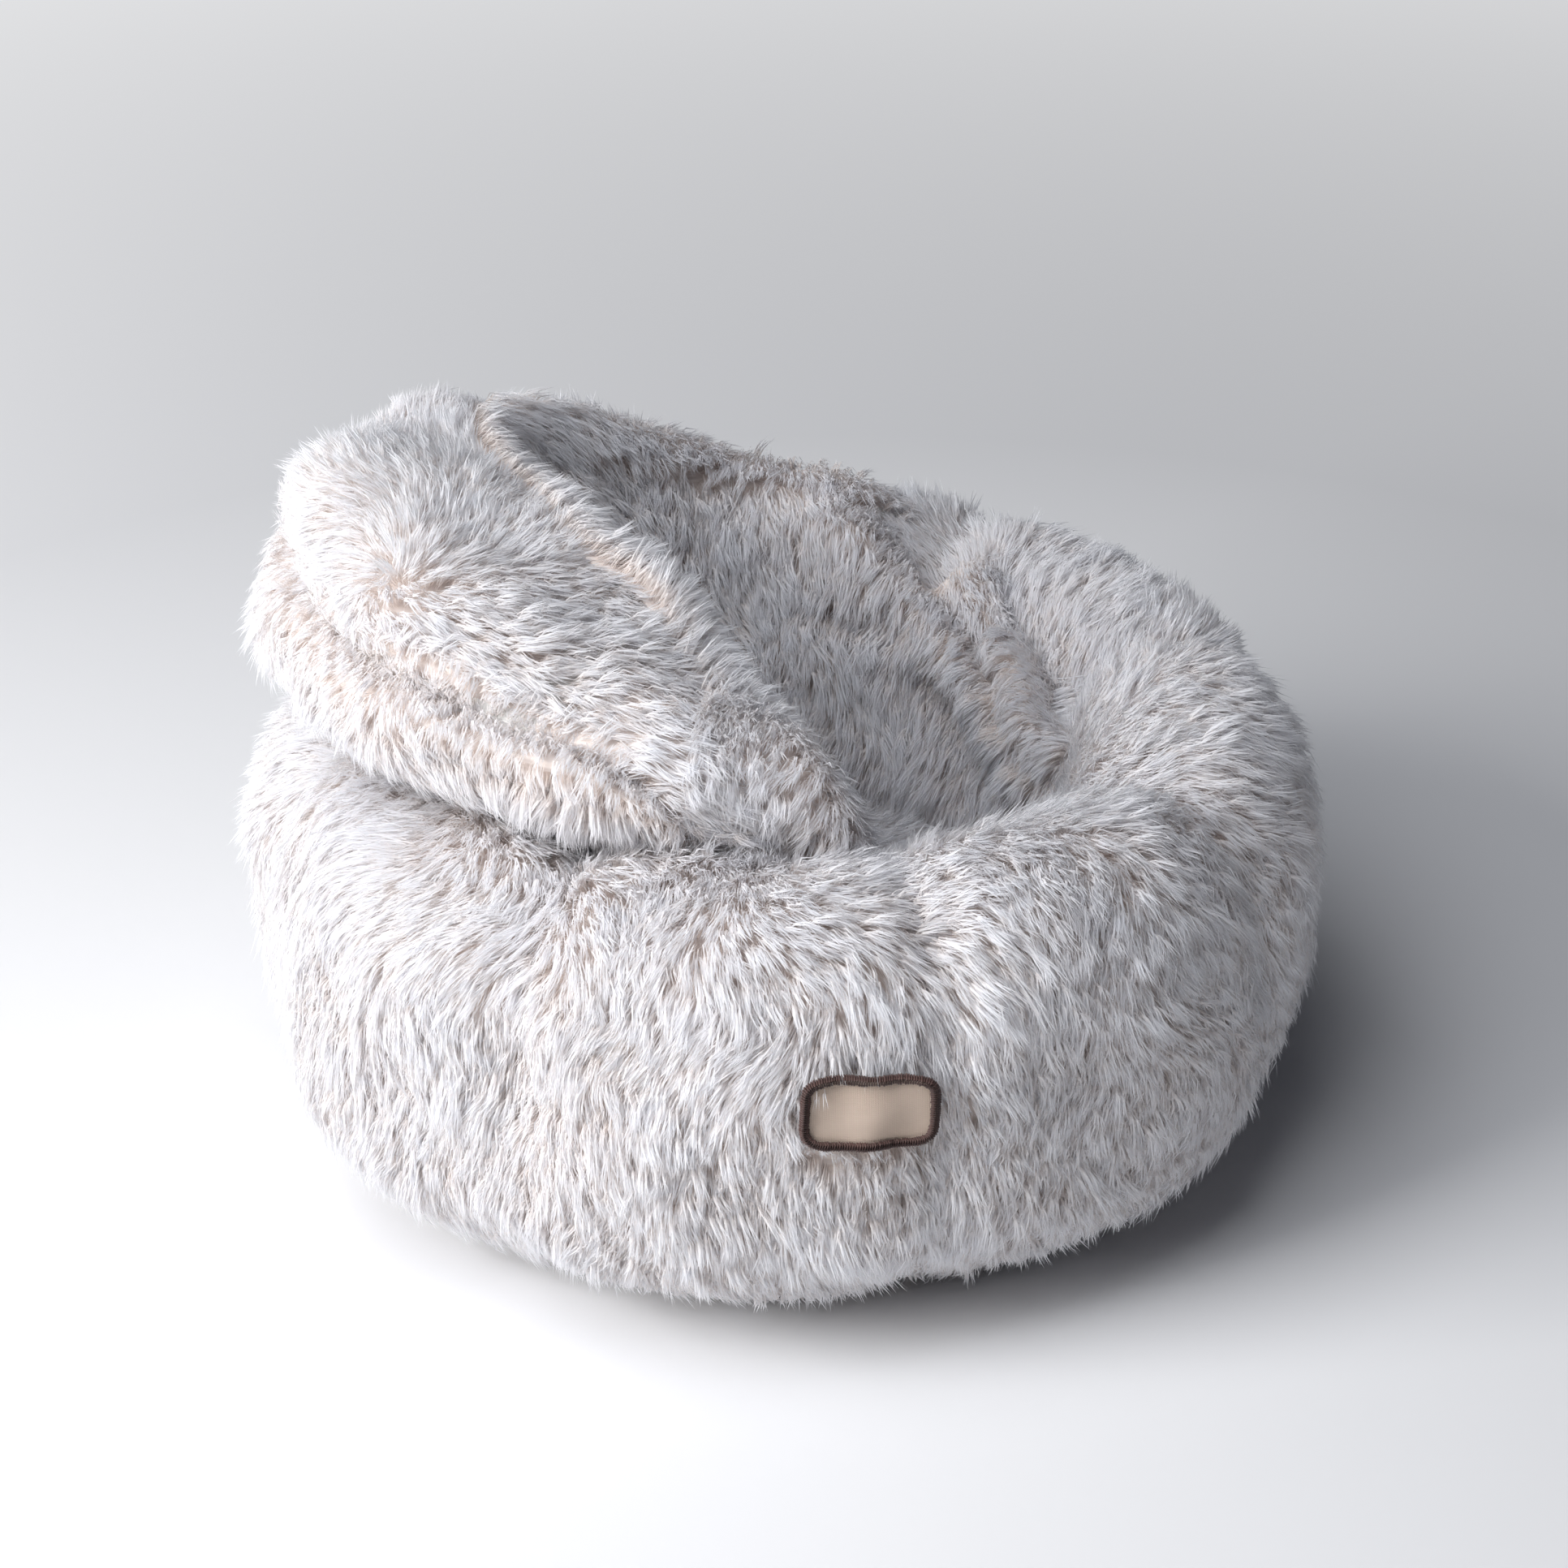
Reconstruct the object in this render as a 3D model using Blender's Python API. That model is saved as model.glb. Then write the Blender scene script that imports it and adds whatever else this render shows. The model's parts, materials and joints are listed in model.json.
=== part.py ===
"""Hooded round pet cushion bed.

A ring-shaped bolster, sewn from eight plush gores round a fibre fill, stands on a flat underside panel and
holds a floor cushion. A padded hood stands on the rim's crest round the left and the back, and leans back
on a hinge line along the left of the crest.

Metres, +Z up. The origin is the centre of the underside, and -Y is the front, where the label is.
"""

import math

import bmesh
import bpy
import numpy as np
from mathutils import Matrix, Vector

# Clearances
GAP = 0.0004  # between pieces that touch
SEAM_GAP = 0.0008  # between two gores, across their seam

# The rim: a ring whose section is a superellipse that tucks in near the floor
OUTER_RADIUS = 0.250
RIM_HEIGHT = 0.222
TUBE_HALF_WIDTH = 0.0635
SECTION_POWER = 2.4
TUCK = 0.050  # how far the outer wall pulls in at the floor
TUCK_HEIGHT = 0.078
PLUSH = 0.018  # cloth and pile together
GORES = 8
GORE_STEPS = 5  # flat facets round one gore
GORE_SEAM = -75.0  # azimuth of the seam behind the label, degrees from +X

# The underside and the floor cushion
BASE_PANEL = 0.003
BASE_PANEL_EDGE = 0.004  # how far the panel runs past the rim's foot
CUSHION_TOP = 0.115
CUSHION_CROWN = 0.010  # how much higher the middle is than the edge
CUSHION_EDGE = 0.020  # radius of the rounded edge
CUSHION_PLUSH = 0.016
CUSHION_CLEARANCE = 0.001

# The lining on the wall of the hollow
LINING = 0.012
LINING_CLEARANCE = 0.0014
LINING_START, LINING_END = 20.0, 205.0
LINING_BELOW_CREST = 0.017

# The hood
HOOD_HEIGHT = 0.113  # above the rim
HOOD_BULGE = 0.059  # furthest out from the crest circle
HOOD_REACH = 0.124  # furthest in from the crest circle
HOOD_WALL = 0.048
HOOD_PLUSH_SHARE = 0.36  # of the wall, for the outer plush and again for the lining
HOOD_SPLIT = 160.0  # azimuth of the seam between the front and the back part
HOOD_STEP = 12.0  # degrees between two sections
SKIRT_SHARE = 0.44  # of the way from the rim to the lip
LIP_SHARE = 0.91
LIP_BULGE = 0.010  # how far the rolled edge stands out past the lip
HOOD_TWIST = ((217.0, 0.0), (267.0, 12.0))  # azimuth, degrees
HOOD_GAP = 0.012  # share of the way from the rim to the lip, between two pieces

# The hood's shape at each azimuth: how far out and how high it is at the rim, at its fullest, at its crown
# and at its lip. Out is a share of HOOD_BULGE, or of HOOD_REACH where it is negative. Up is a share of
# HOOD_HEIGHT. The last two values are the direction in which the wall is thick at the lip, where 180 is
# inwards and 270 is down, and how thick it is, as a share of HOOD_WALL.
HOOD_SECTIONS = (
    (267.0, (-0.19, 0.0), (-0.17, 0.10), (-0.20, 0.19), (-0.27, 0.24), 200.0, 0.65),
    (255.0, (-0.13, 0.0), (-0.05, 0.20), (-0.16, 0.38), (-0.48, 0.46), 210.0, 0.80),
    (233.0, (-0.12, 0.0), (0.23, 0.27), (-0.15, 0.66), (-0.90, 0.72), 245.0, 0.80),
    (210.0, (-0.05, 0.0), (0.66, 0.32), (0.06, 0.88), (-0.95, 0.80), 265.0, 1.00),
    (180.0, (0.15, 0.0), (1.00, 0.37), (0.23, 1.00), (-0.86, 0.81), 275.0, 1.00),
    (160.0, (0.20, 0.0), (1.00, 0.37), (0.40, 0.93), (-0.55, 0.84), 270.0, 1.00),
    (145.0, (0.20, 0.0), (0.92, 0.34), (0.50, 0.85), (-0.15, 0.86), 250.0, 1.00),
    (125.0, (0.16, 0.0), (0.68, 0.24), (0.45, 0.55), (0.05, 0.66), 225.0, 0.90),
    (105.0, (0.13, 0.0), (0.44, 0.14), (0.37, 0.28), (0.20, 0.35), 208.0, 0.80),
    (85.0, (0.12, 0.0), (0.27, 0.08), (0.25, 0.14), (0.17, 0.18), 200.0, 0.65),
    (66.0, (0.11, 0.0), (0.19, 0.04), (0.17, 0.08), (0.12, 0.11), 195.0, 0.45),
)

# The label
LABEL_AZIMUTH = -82.3
LABEL_HEIGHT = 0.145  # of its centre above the floor
LABEL_SIZE = (0.057, 0.032)
LABEL_TILT = -4.0  # degrees in its own plane
LABEL_BORDER = 0.0032
LABEL_CORNER = 0.004
LABEL_THICK = 0.0012
LABEL_BORDER_THICK = 0.0022

# Worked out from the sizes above
CREST_RADIUS = OUTER_RADIUS - TUBE_HALF_WIDTH
HOLLOW_RADIUS = CREST_RADIUS - TUBE_HALF_WIDTH
FLOOR = BASE_PANEL + GAP
HOOD_FOOT = RIM_HEIGHT + GAP
HINGE = Vector((-(CREST_RADIUS + 0.2 * HOOD_BULGE), 0.0, HOOD_FOOT))


def clear_scene():
    for obj in list(bpy.data.objects):
        bpy.data.objects.remove(obj, do_unlink=True)


def material(name, color, roughness):
    """A Principled BSDF of one linear colour."""
    mat = bpy.data.materials.new(name)
    mat.use_nodes = True
    shader = mat.node_tree.nodes["Principled BSDF"]
    shader.inputs["Base Color"].default_value = (*color, 1.0)
    shader.inputs["Roughness"].default_value = roughness
    shader.inputs["Metallic"].default_value = 0.0
    mat.diffuse_color = (*color, 1.0)
    return mat


def mesh_from(bm, name):
    """A mesh with its faces pointing out and round faces shaded smooth."""
    bmesh.ops.recalc_face_normals(bm, faces=bm.faces)
    mesh = bpy.data.meshes.new(name)
    bm.to_mesh(mesh)
    bm.free()
    mesh.shade_smooth()
    mesh.set_sharp_from_angle(angle=math.radians(40.0))
    return mesh


def place(name, mesh, mat, parent=None):
    """An object in the scene. Under a parent, its mesh is moved so that it stays where it was made."""
    obj = bpy.data.objects.new(name, mesh)
    bpy.context.scene.collection.objects.link(obj)
    if not mesh.materials:
        mesh.materials.append(mat)
    if parent:
        mesh.transform(Matrix.Translation(-parent.location))
        obj.parent = parent
    return obj


def through(points, t):
    """The point at t, from 0 to 1, on the smooth curve that passes through equally spaced points."""
    points = np.asarray(points, float)
    ends = np.vstack([2 * points[0] - points[1], points, 2 * points[-1] - points[-2]])
    place_on = min(max(t, 0.0), 1.0) * (len(points) - 1)
    i = min(int(place_on), len(points) - 2)
    u = place_on - i
    a, b, c, d = ends[i : i + 4]
    return 0.5 * (2 * b + (c - a) * u + (2 * a - 5 * b + 4 * c - d) * u**2 + (3 * b - a - 3 * c + d) * u**3)


# ---------------------------------------------------------------- turned pieces


def turned(profile, start=0.0, end=360.0, steps=48):
    """A solid made by turning a closed outline of (radius, height) about Z, between two azimuths."""
    bm = bmesh.new()
    whole = end - start >= 360.0
    verts = [bm.verts.new((r, 0.0, z)) for r, z in profile]
    on_axis = [v for v in verts if v.co.x < 1e-6]
    geom = [bm.edges.new(pair) for pair in zip(verts, verts[1:] + verts[:1])]
    if len(on_axis) == 2:
        axis_edge = next(e for e in geom if all(v in on_axis for v in e.verts))
        geom.remove(axis_edge)
        bm.edges.remove(axis_edge)
    elif not whole:
        geom.append(bm.faces.new(verts))
    bmesh.ops.spin(
        bm,
        geom=verts + geom,
        cent=(0.0, 0.0, 0.0),
        axis=(0.0, 0.0, 1.0),
        angle=math.radians(end - start),
        steps=steps,
        use_merge=whole,
        use_duplicate=False,
    )
    bmesh.ops.remove_doubles(bm, verts=bm.verts, dist=1e-6)
    bmesh.ops.rotate(bm, verts=bm.verts, matrix=Matrix.Rotation(math.radians(start), 3, "Z"))
    return bm


def outer_wall(height, inset):
    """Radius of the rim's outer wall at a height below its middle."""
    middle = RIM_HEIGHT / 2
    fullness = (1 - ((middle - height) / middle) ** SECTION_POWER) ** (1 / SECTION_POWER)
    tuck = TUCK * max(0.0, (TUCK_HEIGHT - height) / TUCK_HEIGHT) ** 2
    return CREST_RADIUS + (TUBE_HALF_WIDTH - inset) * fullness - tuck


def rim_over(angle, inset):
    """(radius, height) on the rim's upper half: 0 is the outer wall, 90 the crest, 180 the hollow's wall."""
    c, s = math.cos(math.radians(angle)), math.sin(math.radians(angle))
    across = math.copysign(abs(c) ** (2 / SECTION_POWER), c)
    up = max(s, 0.0) ** (2 / SECTION_POWER)
    middle = RIM_HEIGHT / 2
    return (
        CREST_RADIUS + (TUBE_HALF_WIDTH - inset) * across,
        middle + (middle - inset) * up,
    )


def rim_outline(inset, lower=5, upper=10):
    """The rim's section from the outer foot over the crest to the foot in the hollow."""
    heights = np.linspace(FLOOR**0.5, (RIM_HEIGHT / 2) ** 0.5, lower, endpoint=False) ** 2
    points = [(outer_wall(h, inset), h) for h in heights]
    points += [rim_over(a, inset) for a in np.linspace(0.0, 180.0, upper + 1)]
    return points + [(HOLLOW_RADIUS + inset, FLOOR)]


def foot_radius():
    return outer_wall(FLOOR, 0.0)


def make_rim(plush, fill):
    """Eight gores of plush round one ring of fill."""
    outside, inside = rim_outline(0.0), rim_outline(PLUSH)
    seam = math.degrees(SEAM_GAP / CREST_RADIUS) / 2
    gore = mesh_from(turned(outside + inside[::-1], seam, 360.0 / GORES - seam, GORE_STEPS), "rim_gore")
    for i in range(GORES):
        obj = place(f"rim_gore_{i + 1}", gore, plush)
        obj.rotation_euler.z = math.radians(GORE_SEAM + 360.0 / GORES * i)
    ring = turned(rim_outline(PLUSH + GAP), GORE_SEAM, GORE_SEAM + 360.0, GORES * GORE_STEPS)
    place("rim_fill", mesh_from(ring, "rim_fill"), fill)


def make_base_panel(cloth):
    radius = foot_radius() + BASE_PANEL_EDGE
    disc = turned([(0.0, 0.0), (radius, 0.0), (radius, BASE_PANEL), (0.0, BASE_PANEL)], steps=64)
    place("base_panel", mesh_from(disc, "base_panel"), cloth)


def cushion_outline(inset):
    """The cushion's top from its foot at the wall of the hollow, up over its rounded edge to the middle."""
    radius = HOLLOW_RADIUS - CUSHION_CLEARANCE - inset
    edge_top = CUSHION_TOP - CUSHION_CROWN - inset
    corner = CUSHION_EDGE - inset / 2
    points = [(radius, FLOOR)]
    for angle in np.linspace(0.0, 90.0, 5):
        a = math.radians(angle)
        points.append((radius - corner * (1 - math.cos(a)), edge_top - corner * (1 - math.sin(a))))
    flat = radius - corner
    for share in (0.66, 0.33):
        points.append((flat * share, edge_top + CUSHION_CROWN * (1 - share**2)))
    return points + [(0.0, CUSHION_TOP - inset)]


def make_cushion(plush, fill):
    outside, inside = cushion_outline(0.0), cushion_outline(CUSHION_PLUSH)
    cover = turned(outside + inside[::-1], steps=40)
    place("cushion_cover", mesh_from(cover, "cushion_cover"), plush)
    pad = turned(cushion_outline(CUSHION_PLUSH + GAP) + [(0.0, FLOOR)], steps=40)
    place("cushion_fill", mesh_from(pad, "cushion_fill"), fill)


def hollow_wall(height, proud):
    """Radius of the hollow's wall at a height, or of a surface that stands that much proud of it."""
    middle = RIM_HEIGHT / 2
    share = max(0.0, height - middle) / (middle + proud)
    return CREST_RADIUS - (TUBE_HALF_WIDTH + proud) * (1 - share**SECTION_POWER) ** (1 / SECTION_POWER)


def make_hollow_lining(plush):
    """A sheet on the wall of the hollow, from the cushion up to the shoulder of the crest."""
    heights = np.linspace(CUSHION_TOP + GAP, RIM_HEIGHT - LINING_BELOW_CREST, 6)
    against = [(hollow_wall(h, LINING_CLEARANCE), h) for h in heights]
    facing = [(hollow_wall(h, LINING), h) for h in heights]
    sheet = turned(against + facing[::-1], LINING_START, LINING_END, 18)
    place("hollow_lining", mesh_from(sheet, "hollow_lining"), plush)


# ---------------------------------------------------------------- the hood


def hood_section(azimuth):
    """The hood's four (radius, height) points, its lip's direction and its wall, between the table's rows."""
    rows = np.array([[row[0], *sum(row[1:5], ()), *row[5:]] for row in HOOD_SECTIONS])
    at = np.interp(-azimuth, -rows[:, 0], np.linspace(0.0, 1.0, len(rows)))
    values = through(rows[:, 1:], at)
    points = []
    for out, up in values[:8].reshape(4, 2):
        reach = HOOD_BULGE if out > 0 else HOOD_REACH
        points.append((CREST_RADIUS + out * reach, HOOD_FOOT + up * HOOD_HEIGHT))
    return points, values[8], values[9] * HOOD_WALL


def hood_point(azimuth, along, depth):
    """A point of the hood: along runs from the rim at 0 to the lip at 1, depth from the outside at 0 to the
    inside of the cave at 1. Towards the mouth's near end, the wall's inside turns ahead of its outside."""
    points, lean, wall = hood_section(azimuth)
    radius, height = through(points, along)
    turn = math.radians(180.0 + (lean - 180.0) * min(along, 1.0) ** 1.5)
    radius += depth * wall * math.cos(turn)
    height += depth * wall * math.sin(turn)
    twist = float(np.interp(azimuth, *zip(*HOOD_TWIST)))
    a = math.radians(azimuth + depth * twist)
    return Vector((radius * math.cos(a), radius * math.sin(a), max(height, HOOD_FOOT)))


def loft(rings):
    """A closed solid through rings of points. Each quad is split the same way on both sides of the wall,
    so that two layers that share a surface never cross."""
    bm = bmesh.new()
    half = len(rings[0]) // 2
    verts = [[bm.verts.new(p) for p in ring] for ring in rings]
    count = len(rings[0])
    for first, second in zip(verts, verts[1:]):
        for j in range(count):
            k = (j + 1) % count
            a, b, c, d = first[j], first[k], second[k], second[j]
            split = ((a, b, c), (a, c, d)) if j < half else ((a, b, d), (b, c, d))
            for corners in split:
                bm.faces.new(corners)
    bm.faces.new(verts[0])
    bm.faces.new(verts[-1])
    return bm


def hood_azimuths(start, end):
    """Azimuths of the sections from start down to end, on the same grid for every layer."""
    grid = np.arange(HOOD_SPLIT - 40 * HOOD_STEP, HOOD_SPLIT + 40 * HOOD_STEP, HOOD_STEP)
    margin = 0.3 * HOOD_STEP
    inside = [a for a in grid if end + margin < a < start - margin]
    return [start, *inside[::-1], end]


def hood_layer(name, mat, hinge, span, along, depth):
    """One layer of the hood: its span of azimuths, its places from rim to lip, and its two depths."""
    rings = []
    for azimuth in hood_azimuths(*span):
        near = [hood_point(azimuth, s, depth[0]) for s in along]
        far = [hood_point(azimuth, s, depth[1]) for s in along]
        rings.append(near + far[::-1])
    place(name, mesh_from(loft(rings), name), mat, hinge)


def hood_lip(mat, hinge, span):
    """The rolled edge: it covers the ends of every layer and stands out past them in the middle."""
    depths = (0.0, HOOD_PLUSH_SHARE, 1.0 - HOOD_PLUSH_SHARE, 1.0)
    rings = []
    for azimuth in hood_azimuths(*span):
        seam = [hood_point(azimuth, LIP_SHARE + HOOD_GAP, d) for d in depths]
        edge = [hood_point(azimuth, 1.0, d) for d in depths]
        for i in (1, 2):
            edge[i] += (edge[i] - seam[i]).normalized() * LIP_BULGE
        rings.append([seam[0], *edge, *seam[:0:-1]])
    place("hood_lip", mesh_from(loft(rings), "hood_lip"), mat, hinge)


def make_hood(plush, fill):
    hinge = bpy.data.objects.new("hood_hinge", None)
    hinge.location = HINGE
    bpy.context.scene.collection.objects.link(hinge)

    near_end, far_end = HOOD_SECTIONS[0][0], HOOD_SECTIONS[-1][0]
    seam = math.degrees(SEAM_GAP / CREST_RADIUS)
    front = (near_end, HOOD_SPLIT + seam)
    back = (HOOD_SPLIT - seam, far_end)
    whole = (near_end, far_end)
    share_gap = GAP / HOOD_WALL
    outer = (0.0, HOOD_PLUSH_SHARE)
    middle = (HOOD_PLUSH_SHARE + share_gap, 1.0 - HOOD_PLUSH_SHARE - share_gap)
    inner = (1.0 - HOOD_PLUSH_SHARE, 1.0)
    skirt = [0.0, SKIRT_SHARE / 2, SKIRT_SHARE]
    panel = [SKIRT_SHARE + HOOD_GAP, *np.linspace(SKIRT_SHARE, LIP_SHARE, 6)[1:]]
    wall = [*skirt, *panel[1:]]

    hood_layer("hood_skirt", plush, hinge, whole, skirt, outer)
    for side, span in (("front", front), ("back", back)):
        hood_layer(f"hood_panel_{side}", plush, hinge, span, panel, outer)
        hood_layer(f"hood_padding_{side}", fill, hinge, span, wall, middle)
        hood_layer(f"hood_lining_{side}", plush, hinge, span, wall, inner)
    hood_lip(plush, hinge, whole)


# ---------------------------------------------------------------- the label


def rounded_rectangle(width, height, corner, steps=4):
    points = []
    for quarter, (sx, sy) in enumerate(((1, 1), (-1, 1), (-1, -1), (1, -1))):
        centre = (sx * (width / 2 - corner), sy * (height / 2 - corner))
        for step in range(steps + 1):
            a = math.radians(90.0 * (quarter + step / steps))
            points.append((centre[0] + corner * math.cos(a), centre[1] + corner * math.sin(a)))
    return points


def label_matrix(lift):
    """Where the label lies: flat against the outer wall, its back `lift` away from it."""
    middle = RIM_HEIGHT / 2
    share = (LABEL_HEIGHT - middle) / middle
    fullness = (1 - abs(share) ** SECTION_POWER) ** (1 / SECTION_POWER)
    radius = CREST_RADIUS + TUBE_HALF_WIDTH * fullness
    slope = TUBE_HALF_WIDTH / middle * fullness ** (1 - SECTION_POWER) * abs(share) ** (SECTION_POWER - 1)
    pitch = math.copysign(math.atan(slope), share)
    out = Matrix.Translation((0.0, 0.0, lift))
    upright = Matrix.Rotation(math.radians(90.0) - pitch, 4, "X") @ Matrix.Rotation(
        math.radians(LABEL_TILT), 4, "Z"
    )
    facing = Matrix.Rotation(math.radians(LABEL_AZIMUTH + 90.0), 4, "Z")
    return facing @ Matrix.Translation((0.0, -radius, LABEL_HEIGHT)) @ upright @ out


def slab(outline, thick, hole=None):
    """A flat plate with an outline, and the ring round a hole if one is given."""
    bm = bmesh.new()
    rim = [bm.verts.new((x, y, 0.0)) for x, y in outline]
    if hole:
        inner = [bm.verts.new((x, y, 0.0)) for x, y in hole]
        count = len(rim)
        faces = [
            bm.faces.new((rim[i], rim[(i + 1) % count], inner[(i + 1) % count], inner[i]))
            for i in range(count)
        ]
    else:
        faces = [bm.faces.new(rim)]
    raised = bmesh.ops.extrude_face_region(bm, geom=faces)
    moved = [g for g in raised["geom"] if isinstance(g, bmesh.types.BMVert)]
    bmesh.ops.translate(bm, verts=moved, vec=(0.0, 0.0, thick))
    return bm


def make_label(cloth, edging):
    width, height = LABEL_SIZE
    inner_size = (width - 2 * LABEL_BORDER, height - 2 * LABEL_BORDER)
    inner_corner = LABEL_CORNER - LABEL_BORDER / 2
    patch = slab(
        rounded_rectangle(inner_size[0] - 2 * GAP, inner_size[1] - 2 * GAP, inner_corner), LABEL_THICK
    )
    border = slab(
        rounded_rectangle(width, height, LABEL_CORNER),
        LABEL_BORDER_THICK,
        rounded_rectangle(*inner_size, inner_corner),
    )
    for name, bm, mat in (("label_patch", patch, cloth), ("label_border", border, edging)):
        obj = place(name, mesh_from(bm, name), mat)
        obj.matrix_world = label_matrix(GAP)


clear_scene()
plush = material("cream long-pile plush", (0.83, 0.75, 0.66), 0.9)
fill = material("polyester fibre fill", (0.86, 0.86, 0.84), 0.95)
base_cloth = material("grey non-slip cloth", (0.30, 0.29, 0.28), 0.9)
label_cloth = material("woven label satin", (0.62, 0.49, 0.38), 0.7)
label_thread = material("dark brown overlock thread", (0.05, 0.02, 0.017), 0.8)

make_base_panel(base_cloth)
make_rim(plush, fill)
make_cushion(plush, fill)
make_hollow_lining(plush)
make_hood(plush, fill)
make_label(label_cloth, label_thread)
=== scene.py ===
# %% [markdown]
# # A hooded plush pet bed
# The bed is a ring-shaped bolster sewn from eight gores of long-pile plush, with a cushion in its hollow
# and a padded hood that stands on the rim. Its cloth is almost hidden: what the eye sees is pile, some 20
# mm long, in thousands of small locks. So this file makes each piece of cloth first, as a smooth sheet in
# the place that the CAD model gives, and then grows the pile on it with Geometry Nodes.

# %% Load the CAD model as a fixed frame
import json
import math
import time

import bmesh
import bpy
import numpy as np
from mathutils import Matrix, Vector

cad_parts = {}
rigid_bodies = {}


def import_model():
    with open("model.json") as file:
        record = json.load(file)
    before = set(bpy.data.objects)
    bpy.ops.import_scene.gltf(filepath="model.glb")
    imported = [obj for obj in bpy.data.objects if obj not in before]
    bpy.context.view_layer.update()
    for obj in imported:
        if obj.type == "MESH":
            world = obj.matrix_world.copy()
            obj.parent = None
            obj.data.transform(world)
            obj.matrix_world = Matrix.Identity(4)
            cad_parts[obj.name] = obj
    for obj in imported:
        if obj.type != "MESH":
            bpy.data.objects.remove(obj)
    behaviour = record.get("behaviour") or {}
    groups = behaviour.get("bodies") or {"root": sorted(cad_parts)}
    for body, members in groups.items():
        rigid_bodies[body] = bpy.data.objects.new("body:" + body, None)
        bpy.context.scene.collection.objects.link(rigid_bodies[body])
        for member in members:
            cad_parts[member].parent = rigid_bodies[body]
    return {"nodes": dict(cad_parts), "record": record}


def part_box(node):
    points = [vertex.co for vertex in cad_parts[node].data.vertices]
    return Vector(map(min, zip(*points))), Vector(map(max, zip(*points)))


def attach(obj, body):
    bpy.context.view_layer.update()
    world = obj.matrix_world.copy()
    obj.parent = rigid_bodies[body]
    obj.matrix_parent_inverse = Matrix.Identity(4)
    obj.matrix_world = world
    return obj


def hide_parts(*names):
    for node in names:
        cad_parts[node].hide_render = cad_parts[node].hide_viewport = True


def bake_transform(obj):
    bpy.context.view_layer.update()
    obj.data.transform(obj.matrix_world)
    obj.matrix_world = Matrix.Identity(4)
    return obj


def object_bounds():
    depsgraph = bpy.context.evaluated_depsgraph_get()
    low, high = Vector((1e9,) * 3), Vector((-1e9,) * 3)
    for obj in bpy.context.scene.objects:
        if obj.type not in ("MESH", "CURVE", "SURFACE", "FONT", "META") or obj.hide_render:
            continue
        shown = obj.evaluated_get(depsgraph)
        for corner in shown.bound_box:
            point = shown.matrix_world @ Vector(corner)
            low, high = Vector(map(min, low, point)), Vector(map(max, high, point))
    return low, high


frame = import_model()
cad_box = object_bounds()
started = time.perf_counter()
print("CAD box", [[round(x, 4) for x in corner] for corner in cad_box])

# %% [markdown]
# ## Sizes
# Every size starts from the CAD nodes' boxes, so that the plush stays on the solids that carry it. The
# rim's section is a superellipse: fuller than an ellipse, as a stuffed tube is, and tucked in where it
# stands.

# %% Read the driving sizes from the frame
GORE_NAMES = [f"rim_gore_{i}" for i in range(1, 9)]
RIM_OUT = max(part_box(name)[1].x for name in GORE_NAMES)
RIM_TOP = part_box(GORE_NAMES[0])[1].z
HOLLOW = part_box("cushion_cover")[1].x
CREST = (RIM_OUT + HOLLOW) / 2
HALF = (RIM_OUT - HOLLOW) / 2
MIDDLE = RIM_TOP / 2
CUSHION_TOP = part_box("cushion_cover")[1].z
PANEL_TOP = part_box("base_panel")[1].z
PANEL_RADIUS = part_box("base_panel")[1].x
HINGE = Vector(frame["record"]["behaviour"]["joints"][0]["pos_m"])
SECTION_POWER = 2.4
TUCK, TUCK_HEIGHT = 0.050, 0.078
FIRST_SEAM = -75.0
print(f"rim {2 * RIM_OUT:.3f} m across, crest at {CREST:.4f} m, {RIM_TOP:.3f} m high, hinge {tuple(HINGE)}")

# %% [markdown]
# ## Helpers for nodes and colours
# One function adds a node to any tree and links it, so that a material or a Geometry Nodes tree reads as
# a list of steps. Colours are written as hex values, as a dye card gives them, and turned to linear
# light.


# %% Add a node with its settings and links
def add(tree, kind, inputs=None, **settings):
    """A new node. inputs maps a socket's name or number to a value or to an output socket."""
    node = tree.nodes.new(kind)
    for key, value in settings.items():
        setattr(node, key, value)
    for key, value in (inputs or {}).items():
        socket = node.inputs[key]
        if isinstance(value, bpy.types.NodeSocket):
            tree.links.new(value, socket)
        else:
            socket.default_value = value
    return node


def hex_color(code):
    """Linear RGBA from an sRGB hex value."""
    channels = [int(code[i : i + 2], 16) / 255 for i in (1, 3, 5)]
    return (*[c / 12.92 if c <= 0.04045 else ((c + 0.055) / 1.055) ** 2.4 for c in channels], 1.0)


def new_material(name):
    """An empty node material with its shader and output."""
    mat = bpy.data.materials.new(name)
    mat.use_nodes = True
    mat.node_tree.nodes.clear()
    shader = add(mat.node_tree, "ShaderNodeBsdfPrincipled")
    add(mat.node_tree, "ShaderNodeOutputMaterial", {"Surface": shader.outputs[0]})
    return mat, mat.node_tree, shader


print("helpers ready")

# %% [markdown]
# ## Pile material: soft modacrylic plush, brushed
# Long-pile plush is knitted from fine crimped modacrylic fibre, which is matt, slightly translucent and
# almost white at its brushed tips. Near the cloth the roots are painted warm peach: painted shade, for the
# dim warm light deep in the pile that has passed many fibres. Each lock keeps its place on a small chart:
# across is the lock's own tone, up is the way from root to tip, and the colours are read from that chart.

# %% Make the plush material
PILE_MAP = "OFBake"


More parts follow.
